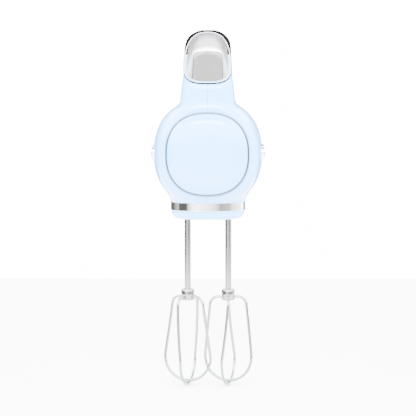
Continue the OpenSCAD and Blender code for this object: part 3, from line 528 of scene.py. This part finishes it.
# -------------------------------------------------------------------------------- shells
def scoop_outline(inset=0.0, k=144):
    """The scoop's egg-shaped outline in its own plane."""
    c, s = round_the_circle(k)
    n = np.where(s < 0, 3.0, 2.5)
    tall = np.where(s < 0, SCOOP_WAIST - SCOOP_GAP, SCOOP_LEN - (SCOOP_WAIST + SCOOP_GAP)) - inset
    return np.stack([(SCOOP_HALF - inset) * squared(c, n), SCOOP_WAIST + tall * squared(s, n)], 1)


def block(lo, hi, carry=lambda p: p):
    """A box between two corners."""
    outline = np.array([(lo[0], lo[1]), (hi[0], lo[1]), (hi[0], hi[1]), (lo[0], hi[1])], float)
    return prism(outline, lo[2], hi[2], carry)


def cut(ob, *parts):
    """Takes closed (points, faces) parts out of a mesh."""
    carve(ob, solid("cut", parts))


def copy_of(ob, name):
    twin = ob.copy()
    twin.data = ob.data.copy()
    twin.name = name
    bpy.context.scene.collection.objects.link(twin)
    return twin


def middle(node, axis):
    lo, hi = cad(node)
    return (lo[axis] + hi[axis]) / 2


def piece(ob, node, sharp=30):
    """Finishes a piece that stands for one CAD node: same body, same slot."""
    finish_piece(ob, BODY_OF[node], LOOKS[SLOT_OF[node]], (node,), sharp)


LIP = 1.5                    # how far the blue shell stops short of the scoop's plane
PAD_Z, CORD_Z = middle("heel_pad", 2), middle("cord_inlet_bush", 2)
PAD_HALF, PAD_ROUND = (17, 27), 12
TRIM_Y, TRIM_HALF = middle("side_trim_left", 1), (31, 5.25)
DISPLAY_HALF = (7.5, 10)
SLIDER_Y, TURBO_Y, DISPLAY_Y = (middle(n, 1) for n in ("speed_slider", "turbo_button", "display_window"))
SLIDER_TRAVEL = JOINTS["speed_select"]["range_m"][1] / MM
RECESS_Y, RECESS_HALF = 38.5, 23
SCREWS = ((6.6, 103.4), (112, 128), (132.6, 65.3), (84, 25))
PLUG_FROM = (15, 12.6, 27, 22)     # how far out each screw plug starts
rearward = rotation((1, 0, 0), (0, 0, 1), (0, 1, 0), (0, 0, 0))
rightward = rotation((0, 1, 0), (0, 0, 1), (1, 0, 0), (0, 0, 0))


def cut_scoop(ob):
    """Takes out what lies ahead of the blue shells' rim, and the scoop's own room."""
    cut(ob, block((-40, -60, -LIP), (40, 80, 60), on_scoop))
    cut(ob, prism(scoop_outline(1.8), -15, 10, on_scoop))


def cover_space(drop):
    """All the space above the black cover's lower edge, less a drop."""
    run, rise = COVER_REAR[0] - COVER_FRONT[0], COVER_REAR[1] - COVER_FRONT[1]
    length = math.hypot(run, rise)
    along, out = (0, run / length, rise / length), (0, -rise / length, run / length)
    carry = rotation((1, 0, 0), along, out, (0, *COVER_FRONT))
    return solid("cut", [block((-40, -40, drop), (40, 160, 60), carry)])


def cut_shell(ob):
    """What is taken out of the two blue shells."""
    turret = superellipse(TURRET_A + TURRET_GAP, TURRET_B + TURRET_GAP, TURRET_N)
    cut(ob, prism(turret, -5, BAND_Z[1]))
    # ahead of the turret the belly ends level with the top of the band
    cut(ob, block((-50, -60, -10), (50, 6, BAND_Z[1])))
    nose = superellipse(RING_R + RING_GAP, RING_R + RING_GAP, NOSE_N, 160)
    cut(ob, prism(nose, 20, 60, across_y((0, 0, BODY_Z))))
    pad = rounded_rectangle(PAD_HALF[0] + PAD_GAP, PAD_HALF[1] + PAD_GAP, PAD_ROUND) + (0, PAD_Z)
    cut(ob, prism(pad, HEEL - 2, HEEL + 20, rearward))
    cord_bush = superellipse(5.35, 5.35, 2, 48) + (0, CORD_Z)
    cut(ob, prism(cord_bush, HEEL - 14, HEEL + 20, rearward))
    # cooling slots under the tail
    cut(ob, *[prism(rounded_rectangle(1.2, 9 - abs(i) * 0.8, 1.19, 8) + (i * VENT_PITCH, VENT_Y), 8, 34)
              for i in range(-3, 4)])
    for side in (-1, 1):
        seat = rounded_rectangle(TRIM_HALF[0] + TRIM_GAP, TRIM_HALF[1] + TRIM_GAP, 5.4)
        cut(ob, prism(seat, BODY_R - 1.1, BODY_R + 9, facing(side, (0, TRIM_Y, BODY_Z))))


def screw_pins(r, start):
    """Round pins at the screws, from a distance out to beyond the right shell."""
    return [prism(superellipse(r, r, 2, 40) + at, start, 60, rightward) for at in SCREWS]


LOW, HIGH = (-46, -38, 6), (46, 153, 152)
form = field_skin("form", housing_field, LOW, HIGH, 0.9)
hollow = field_skin("hollow", lambda x, y, z: housing_field(x, y, z) + WALL, LOW, HIGH, 2.2)
cover, cover_hollow = copy_of(form, "black_cover"), copy_of(hollow, "cover_hollow")
plugs = copy_of(form, "plugs")

carve(form, hollow)
carve(form, cover_space(0))
cut_scoop(form)
cut_shell(form)
left_shell = copy_of(form, "left_shell")
cut(left_shell, block((-SEAM / 2, -60, -20), (60, 200, 200)))
cut(form, block((-60, -60, -20), (SEAM / 2, 200, 200)))
cut(form, *screw_pins(3.02, 4))
form.name = "right_shell"
piece(field_normals(left_shell, housing_field), "left_housing", sharp=None)
piece(field_normals(form, housing_field), "right_housing", sharp=None)

carve(plugs, solid("pins", screw_pins(2.88, 12)), "INTERSECT")
cut(plugs, *[prism(superellipse(6, 6, 2, 40) + at, 0, start, rightward)
             for at, start in zip(SCREWS, PLUG_FROM)])
piece(field_normals(plugs, housing_field), "screw_plugs", sharp=None)

# the black cover on top, with its controls' recesses
carve(cover, cover_space(0.15), "INTERSECT")
carve(cover, cover_hollow)
cut_scoop(cover)
slot_y = SLIDER_Y + SLIDER_TRAVEL / 2
window_seat = rounded_rectangle(DISPLAY_HALF[0] + 0.2, DISPLAY_HALF[1] + 0.2, 3)
for outline, depth in ((window_seat + (0, DISPLAY_Y), 2),
                       (rounded_rectangle(6.5, RECESS_HALF, 6.4) + (0, RECESS_Y), 0.9),
                       (rounded_rectangle(2.2, SLIDER_TRAVEL / 2 + 3.3, 2.1) + (0, slot_y), 12),
                       (superellipse(5.15, 5.15, 2, 64) + (0, TURBO_Y), 12)):
    cut(cover, prism(outline, HANDLE_TOP - depth, HANDLE_TOP + 8))
piece(field_normals(cover, housing_field), "top_cover", sharp=None)


# -------------------------------------------------------------------------------- nose and turret
def nose_cap():
    """A pillow with a tightly rolled edge, and the skirt that plugs it into the ring."""
    skirt, plug_y, proud, k = RING_R - RING_W - 0.1, -27, 11, 160

    def ring(half, y):
        return across_y((0, y, BODY_Z))(flat_ring(superellipse(half, half, NOSE_N, k), 0))

    rings = [ring(skirt - 2, plug_y), ring(skirt, plug_y), ring(skirt, plug_y - 4),
             ring(skirt, -BODY_FRONT - 0.4)]
    for t in np.sin(np.linspace(0.02, 1, 46)[:-1] * math.pi / 2):
        rings.append(ring(skirt * (1 - t ** 2.6) ** (1 / 2.9), -BODY_FRONT - 0.6 - (proud - 0.6) * t))
    tip = len(rings) - 1
    for share in (0.7, 0.4, 0.15):
        half = np.abs(rings[tip][:, 0]).max() * share
        rings.append(ring(half, -BODY_FRONT - proud + 0.02 * share))
    return solid("nose_pillow", [loft(rings)])


def hoop(name, outline_of, profile, carry=lambda p: p):
    """A ring with a closed profile of (inset, height) points that runs round an outline."""
    rings = [carry(flat_ring(outline_of(inset), z)) for inset, z in profile]
    return solid(name, [loft(rings, closed=True)])


def round_profile(inset0, inset1, z0, z1, r, steps=4):
    """A rectangle with rounded corners, as (inset, height) points."""
    corners = [(inset0 + r, z0 + r, math.pi), (inset1 - r, z0 + r, 1.5 * math.pi), (inset1 - r, z1 - r, 0),
               (inset0 + r, z1 - r, 0.5 * math.pi)]
    arcs = [(cx + r * math.cos(a + s), cz + r * math.sin(a + s)) for cx, cz, a in corners
            for s in np.linspace(0, math.pi / 2, steps + 1)]
    points = []
    for p, q in zip(np.array(arcs), np.roll(arcs, -1, axis=0)):
        points.append(p)
        length = np.hypot(*(q - p))
        if length > 0.5:      # keeps the flat faces flat: rows close to the rounded corners
            points += [p + (q - p) * 0.12 / length, q - (q - p) * 0.12 / length]
    return points


def turret_base():
    """The blue cup under the beater turret, with a rounded lower edge and two spindle holes."""
    def outline_of(inset):
        return superellipse(TURRET_A - 0.3 - inset, TURRET_B - 0.3 - inset, TURRET_N, 160)

    turn = [(TURRET_ROUND * (1 - math.cos(a)), BASE_Z + TURRET_ROUND * (1 - math.sin(a)))
            for a in np.linspace(math.pi / 2, 0, 16)]
    outer = turn + [(0, BAND_Z[0] - 0.3), (0.3, BAND_Z[0]), (1.2, BAND_Z[0]), (1.2, BAND_Z[1] - 0.15),
                    (2.6, BAND_Z[1] - 0.15), (2.6, BAND_Z[1] + 3)]
    ob = solid("turret_cup", [loft([flat_ring(outline_of(i), z) for i, z in outer])])
    cut(ob, prism(outline_of(4), BASE_Z + 3.2, BAND_Z[1] + 9))
    cut(ob, *[lathe([(5.8, -2), (5.8, 7)], (side * BEATER_X, 0, 0)) for side in (-1, 1)])
    return ob


piece(nose_cap(), "nose_cap", sharp=40)
piece(hoop("nose_ring", lambda i: superellipse(RING_R - i, RING_R - i, NOSE_N, 160),
           round_profile(0, RING_W, 29, BODY_FRONT + 1.4, 0.5), across_y((0, 0, BODY_Z))),
      "nose_trim_ring", sharp=50)
piece(hoop("chrome_band", lambda i: superellipse(TURRET_A - i, TURRET_B - i, TURRET_N, 160),
           round_profile(-0.4, 1.1, BAND_Z[0] + 0.05, BAND_Z[1] - 0.05, 0.35)), "turret_band", sharp=50)
piece(turret_base(), "turret_base", sharp=35)


# -------------------------------------------------------------------------------- thumb scoop
def scoop_floor(v):
    """How far the floor's middle line lies below the scoop's plane, at a height v up it."""
    up = SCOOP_DEEP * np.sin(math.pi / 2 * np.clip((SCOOP_LEN - v) / (SCOOP_LEN - CREASE), 0, 1)) ** 0.8
    down = 1.2 + (SCOOP_DEEP - 1.2) * (np.clip(v, 0, CREASE) / CREASE) ** 0.75
    return np.where(v > CREASE, up, down)


CREASE = 32.5                # how far up the plane the roof meets the eject button
BUTTON_V, BUTTON_DOWN, BUTTON_UP = 14.0, 11.6, CREASE - 14.2


def button_outline(grow=0.0, k=160):
    """The eject button's outline: a wide round foot, nearly straight sides and an arched top."""
    c, s = round_the_circle(k)
    low = s < 0
    n = np.where(low, 3.6, 6.5)
    across, along = squared(c, n), squared(s, n)
    arch = np.where(low, 0, 0.9) * across ** 2 * along
    v = BUTTON_V + (np.where(low, BUTTON_DOWN, BUTTON_UP) + grow) * along - arch
    share = np.clip((CREASE - v) / (CREASE - 2), 0, 1)
    return np.stack([(10.9 + 0.3 * (1 - share) ** 2 + 1.5 * share ** 2.5 + grow) * across, v], 1)


def wall_depth(q, deep):
    """The scoop's side wall: deep at the button (q = 0), level with the plane at the rim (q = 1)."""
    return -deep * max(0.0, 1 - q ** 2.2) ** (1 / 1.5)


def scoop_bezel():
    """The chromed scoop: curved walls from the eject button's hole out to a rolled lip."""
    rim, hole = scoop_outline(0.55), button_outline(0.3)
    bearing = np.arctan2(hole[:, 1] - BUTTON_V, hole[:, 0])
    order = np.argsort(bearing)
    wanted = np.arctan2(rim[:, 1] - BUTTON_V, rim[:, 0])
    # the hole's outline again, with a point on each bearing that the rim has one
    hole = np.stack([np.interp(wanted, bearing[order], hole[order, k], period=2 * math.pi)
                     for k in (0, 1)], 1)
    deep = scoop_floor(hole[:, 1])

    def wall(q, drop=0.0):
        return np.column_stack([hole + (rim - hole) * q, wall_depth(q, deep) - drop])

    rings = [np.column_stack([hole, -deep - 2.5]), np.column_stack([hole, -deep - 0.3])]
    rings += [wall(q) for q in np.linspace(0.01, 1, 30)]
    lip = ((0.42, 0.14), (0.25, 0.16), (0.08, 0.06), (0.0, -0.15), (0.0, -LIP + 0.1), (0.6, -LIP + 0.1))
    rings += [flat_ring(scoop_outline(inset), w) for inset, w in lip]
    rings += [wall(q, 1.5) for q in (0.92, 0.8, 0.5, 0.15)]
    return solid("chrome_scoop", [loft([on_scoop(r) for r in rings], closed=True)])


def eject_button():
    """The grey panel that fills the hole in the scoop and follows its floor."""
    rings = []
    for q in (0.05, 0.2, 0.35, 0.5, 0.65, 0.8, 0.92):
        ring = (button_outline() - (0, BUTTON_V)) * q + (0, BUTTON_V)
        rings.append(np.column_stack([ring, -scoop_floor(ring[:, 1])]))
    edge = -scoop_floor(button_outline()[:, 1])
    for inset, drop in ((0.35, 0.0), (0.12, 0.08), (0.0, 0.3), (0.0, 2.4), (1.2, 2.4)):
        rings.append(np.column_stack([button_outline(-inset), edge - drop]))
    return solid("eject_pad", [loft([on_scoop(r) for r in rings])])


finish_piece(scoop_bezel(), BODY_OF["scoop_bezel"], SATIN_CHROME, ("scoop_bezel",),
             sharp=45)
# Painted shade: a black band laid in the gap between the blue shell and the chrome scoop. It stands for the shade
# in that gap.
gap_shade_band = hoop("scoop_painted_gap_shade", scoop_outline, round_profile(-0.5, 0.3, -LIP + 0.05, -0.35, 0.12), on_scoop)
finish_piece(gap_shade_band, BODY_OF["scoop_bezel"], LOOKS["cover_black"], sharp=60)
piece(eject_button(), "eject_button", sharp=45)


# -------------------------------------------------------------------------------- trims and controls
def side_trim(side, name, proud):
    """A plain raised bar on the body's side."""
    profile = [(0, BODY_R - 1), *rounded_edge(0.9, 5, proud - 0.25), (2.2, proud - 0.06), (3.6, proud)]
    length, height = TRIM_HALF
    bar = puck(lambda i: rounded_rectangle(length - i, height - i, max(5.2 - i, 0.5)), profile,
               facing(side, (0, TRIM_Y, BODY_Z)))
    return solid(name, [bar])


def heel_pad(front, back):
    """The rubber pad that the mixer stands on at its heel, with cross ribs."""
    shift, rib_pitch = np.array([0, PAD_Z]), 3.1
    parts = [puck(lambda i: rounded_rectangle(PAD_HALF[0] - i, PAD_HALF[1] - i, PAD_ROUND - i) + shift,
                  [(0, front), *rounded_edge(0.6, 4, back - 0.4)], rearward)]
    for i in range(-7, 8):
        bar = rounded_rectangle(13.5 if abs(i) < 6 else 10, 0.7, 0.69, 6)
        at = shift + (0, i * rib_pitch)
        parts.append(loft([rearward(flat_ring(bar * s + at, y)) for s, y in
                           ((1, back - 0.7), (1, back - 0.15), ((0.985, 0.75), back))]))
    return solid("ribbed_heel_pad", parts)


def display_window(low, top):
    """The window's top is crowned along Y with the handle."""
    half_x, half_y = DISPLAY_HALF
    rings = [flat_ring(rounded_rectangle(half_x, half_y, 2.8) + (0, DISPLAY_Y), low)]
    for inset, drop in ((0, 0.45), (0.12, 0.12), (0.45, 0), (2, 0), (4, 0), (6.5, 0)):
        outline = rounded_rectangle(half_x - inset, half_y - inset, max(2.8 - inset, 0.3))
        rings.append(np.column_stack([outline + (0, DISPLAY_Y), top - drop - 0.011 * outline[:, 1] ** 2]))
    return solid("smoked_display", [loft(rings)])


def speed_slider(low, top):
    """A square cap with three ribs, on a stem through its slot."""
    plate, base = top - 0.75, HANDLE_TOP - 0.6
    at = (0, SLIDER_Y)
    parts = [puck(lambda i: rounded_rectangle(5.5 - i, 5.5 - i, max(3 - i, 0.4)) + at,
                  [(0, base), *rounded_edge(0.6, 4, plate), (2, plate)]),
             prism(rounded_rectangle(1.8, 2.8, 1.6) + at, low, base + 0.2)]
    for k in (-1, 0, 1):
        rib_at = np.array(at) + (0, 2.6 * k)
        parts.append(puck(lambda i: rounded_rectangle(4 - i, 0.6 - i, max(0.59 - i, 0.05), 5) + rib_at,
                          [(0, plate - 0.3), (0, top - 0.25), (0.15, top - 0.06), (0.4, top)]))
    return solid("speed_knob_cap", parts)


def turbo_button(low, top):
    """A round cap with a dished top, on a stem."""
    dish = [(5.0, top - 5.2), (5.0, top - 0.6), (4.86, top - 0.22), (4.5, top), (4.0, top - 0.03),
            (2.6, top - 0.32), (1.2, top - 0.45), (0.3, top - 0.48)]
    return solid("turbo_cap", [lathe([(1.6, low), (1.6, top - 5.2), *dish], (0, TURBO_Y, 0))])


for side, node in ((-1, "side_trim_left"), (1, "side_trim_right")):
    piece(side_trim(side, node + "_bar", cad("side_trim_right")[1][0]), node, sharp=40)
piece(heel_pad(cad("heel_pad")[0][1], cad("heel_pad")[1][1]), "heel_pad", sharp=35)
piece(display_window(cad("display_window")[0][2], cad("display_window")[1][2]), "display_window", sharp=40)
piece(speed_slider(cad("speed_slider")[0][2], cad("speed_slider")[1][2]), "speed_slider", sharp=40)
piece(turbo_button(cad("turbo_button")[0][2], cad("turbo_button")[1][2]), "turbo_button", sharp=40)


# -------------------------------------------------------------------------------- beaters
HUB_Z, WIRE_EXIT_Z, FOOT_Z = (-63.8, -55), -61.1, -110.2
WHISK_R, SHOULDER_R, BEND, LEAN, TWIST = 18.9, 14.3, 6.5, math.radians(4), math.radians(15)
WIRE_D, HUB_R, SHAFT_R = 2.3, 5.2, 2.5
WHISK_ANGLE = {-1: -31.5, 1: -0.5}


def whisk_path(foot_z, hand, at, turn):
    """One loop: down an arm, over the foot and up the other, turning slowly about the axis."""
    top_r = SHOULDER_R - BEND
    slope_r, slope_z = WHISK_R * math.cos(LEAN), foot_z + WHISK_R * math.sin(LEAN)
    arm = [(r, WIRE_EXIT_Z) for r in np.linspace(HUB_R - 1.5, top_r - 0.3, 6)]
    arm += [(top_r + BEND * math.sin(t), WIRE_EXIT_Z - BEND * (1 - math.cos(t)))
            for t in np.linspace(0, math.pi / 2 - LEAN, 14)]
    bend_z = WIRE_EXIT_Z - BEND
    arm += [(SHOULDER_R + (slope_r - SHOULDER_R) * s, bend_z + (slope_z - bend_z) * s)
            for s in np.linspace(0.06, 0.96, 24)]
    arm += [(WHISK_R * math.cos(t), foot_z + WHISK_R * math.sin(t))
            for t in np.linspace(LEAN, -math.radians(88), 40)]
    arm = np.array(arm)
    fall = np.clip((WIRE_EXIT_Z - 4 - arm[:, 1]) / (WIRE_EXIT_Z - 4 - FOOT_Z), 0, 1) ** 1.15
    angle = math.radians(turn) + hand * TWIST * fall
    down = np.column_stack([arm[:, 0] * np.cos(angle), arm[:, 0] * np.sin(angle), arm[:, 1]])
    up = down[::-1] * (-1, -1, 1)
    return np.concatenate([down, [(0, 0, foot_z - WHISK_R)], up]) + at


def beater(side, name):
    """A beater's shaft with its ejector groove and drive lug, its hub and its two crossed wire loops."""
    at = np.array([side * BEATER_X, 0, 0])
    top = cad(name + "_beater_shaft")[1][2]
    groove = [(SHAFT_R, 38.2), (SHAFT_R - 0.35, 38.25), (SHAFT_R - 0.35, 39.15), (SHAFT_R, 39.2)]
    rod = lathe([(SHAFT_R - 0.3, HUB_Z[0] + 1), (SHAFT_R, HUB_Z[0] + 1.3), *groove, (SHAFT_R, top - 0.7),
                 (SHAFT_R - 0.7, top)], at, 48)
    c, s = math.cos(math.radians(WHISK_ANGLE[side])), math.sin(math.radians(WHISK_ANGLE[side]))
    turned = rotation((c, s, 0), (-s, c, 0), (0, 0, 1), at)
    lug = puck(lambda i: rounded_rectangle(4.7 - i, 0.7 - i / 2, 0.2, 4),
               [(0.4, 4), (0, 4.4), (0, 10.6), (0.4, 11)], turned)
    hub = lathe([(HUB_R - 0.5, HUB_Z[0]), (HUB_R - 0.15, HUB_Z[0] + 0.15), (HUB_R, HUB_Z[0] + 0.5),
                 (HUB_R, HUB_Z[1] - 0.5), (HUB_R - 0.15, HUB_Z[1] - 0.15), (HUB_R - 0.5, HUB_Z[1])], at, 72)
    wires = [tube(whisk_path(FOOT_Z + k * (WIRE_D / 2 + 0.05), -side, at, WHISK_ANGLE[side] + (k < 0) * 90),
                  WIRE_D / 2, 20) for k in (1, -1)]
    piece(solid(name + "_rod", [rod, lug]), name + "_beater_shaft", sharp=40)
    piece(solid(name + "_hub", [hub]), name + "_beater_hub", sharp=60)
    piece(solid(name + "_loops", wires), name + "_beater_wires", sharp=60)


beater(-1, "left")
beater(1, "right")


# -------------------------------------------------------------------------------- stage and light
def pale_floor(half, steps=24):
    """A flat square of pale card under the beaters."""
    marks = np.linspace(-half, half, steps + 1)
    points = np.array([(x, y, FLOOR_Z) for y in marks for x in marks])
    row = steps + 1
    faces = [(i * row + j, i * row + j + 1, (i + 1) * row + j + 1, (i + 1) * row + j)
             for i in range(steps) for j in range(steps)]
    ob = mesh_object("floor", points * MM + SHIFT, faces)
    ob.data.materials.append(material("floor_card", (0.85, 0.85, 0.85), 0.9, grain=60, tint=0.004, bump=0.0,
                                      specular=0.0))


def soft_light(name, at, target, size, power):
    """A rectangular lamp that points at a place."""
    light = bpy.data.lights.new(name, "AREA")
    light.shape, light.size, light.size_y = "RECTANGLE", size[0] * MM, size[1] * MM
    light.energy = power
    ob = bpy.data.objects.new(name, light)
    bpy.context.scene.collection.objects.link(ob)
    place, look = (Vector(np.array(p, float) * MM + SHIFT) for p in (at, target))
    ob.location = place
    ob.rotation_euler = (place - look).to_track_quat("Z", "Y").to_euler()


ROOM, GROUND = 27, 16        # how bright the room is, and the white that the camera sees behind the floor
# Levels of the room by height: 0 is straight down, 0.5 level and 1 straight up
SKY = [(0.0, 0.5), (0.5, 0.5), (0.62, 0.72), (0.86, 0.9), (0.91, 0.06), (1.0, 0.12)]
FLAG_HEIGHT = [(0.3, 1.0), (0.62, 1.0), (0.78, 0.0)]
RING_HEIGHT = [(0.33, 0.0), (0.38, 1.0), (0.56, 1.0), (0.61, 0.0)]
# Levels by bearing: the flags from 0 to 1 round the room, the panels in degrees right of the nose
FLAGS = [(0.0, 0.9), (0.13, 0.85), (0.22, 0.0), (0.78, 0.0), (0.87, 0.85), (1.0, 0.9)]
PANELS = [(-180, 0.22), (-127, 0.22), (-90, 1.3), (-84, 0.2), (-52, 0.2), (-28, 6.8), (-15, 6.8),
          (25, 0.95), (56, 1.5), (60, 2.6), (118, 6.5), (124, 12), (132, 12), (140, 0.5), (180, 0.4)]


def studio():
    """A white room: dark straight overhead and low behind, with a ring of panels level with the object."""
    world = bpy.data.worlds.new("studio")
    bpy.context.scene.world = world
    world.use_nodes = True
    nodes, links = world.node_tree.nodes, world.node_tree.links

    def math_node(operation, *values):
        node = nodes.new("ShaderNodeMath")
        node.operation = operation
        for k, value in enumerate(values):
            if isinstance(value, (int, float)):
                node.inputs[k].default_value = value
            else:
                links.new(value, node.inputs[k])
        return node.outputs[0]

    def ramp(value, stops):
        node = nodes.new("ShaderNodeValToRGB")
        marks = node.color_ramp.elements
        while len(marks) > 1:
            marks.remove(marks[-1])
        for k, (place, level) in enumerate(stops):
            mark = marks[0] if k == 0 else marks.new(place)
            mark.position, mark.color = place, (level, level, level, 1)
        links.new(value, node.inputs[0])
        return node.outputs[0]

    place, part = nodes.new("ShaderNodeTexCoord"), nodes.new("ShaderNodeSeparateXYZ")
    links.new(place.outputs["Generated"], part.inputs[0])
    x, y, z = part.outputs
    turn = math_node("ARCTAN2", x, math_node("MULTIPLY", y, -1))
    around = math_node("MULTIPLY_ADD", turn, 0.5 / math.pi, 0.5)
    height = math_node("MULTIPLY_ADD", z, 0.5, 0.5)
    sky = ramp(height, SKY)
    ring = ramp(around, [(0.5 + bearing / 360, level / ROOM) for bearing, level in PANELS])
    flags = math_node("MULTIPLY", ramp(around, FLAGS), ramp(height, FLAG_HEIGHT))
    dimmed = math_node("MULTIPLY", sky, math_node("SUBTRACT", 1.0, flags))
    mixed = nodes.new("ShaderNodeMix")
    mixed.data_type = "FLOAT"
    links.new(ramp(height, RING_HEIGHT), mixed.inputs[0])
    links.new(dimmed, mixed.inputs[2])
    links.new(ring, mixed.inputs[3])
    room, white = nodes["Background"], nodes.new("ShaderNodeBackground")
    room.inputs["Strength"].default_value = ROOM
    links.new(mixed.outputs[0], room.inputs["Color"])
    white.inputs["Color"].default_value = (1, 1, 1, 1)
    white.inputs["Strength"].default_value = GROUND
    seen, choose = nodes.new("ShaderNodeLightPath"), nodes.new("ShaderNodeMixShader")
    links.new(seen.outputs["Is Camera Ray"], choose.inputs[0])
    links.new(room.outputs[0], choose.inputs[1])
    links.new(white.outputs[0], choose.inputs[2])
    links.new(choose.outputs[0], nodes["World Output"].inputs["Surface"])


FLOOR_Z = cad("left_beater_wires")[0][2] - 0.3
pale_floor(750)
soft_light("key", (0, -620, 640), (0, 0, 60), (520, 220), 22)
studio()
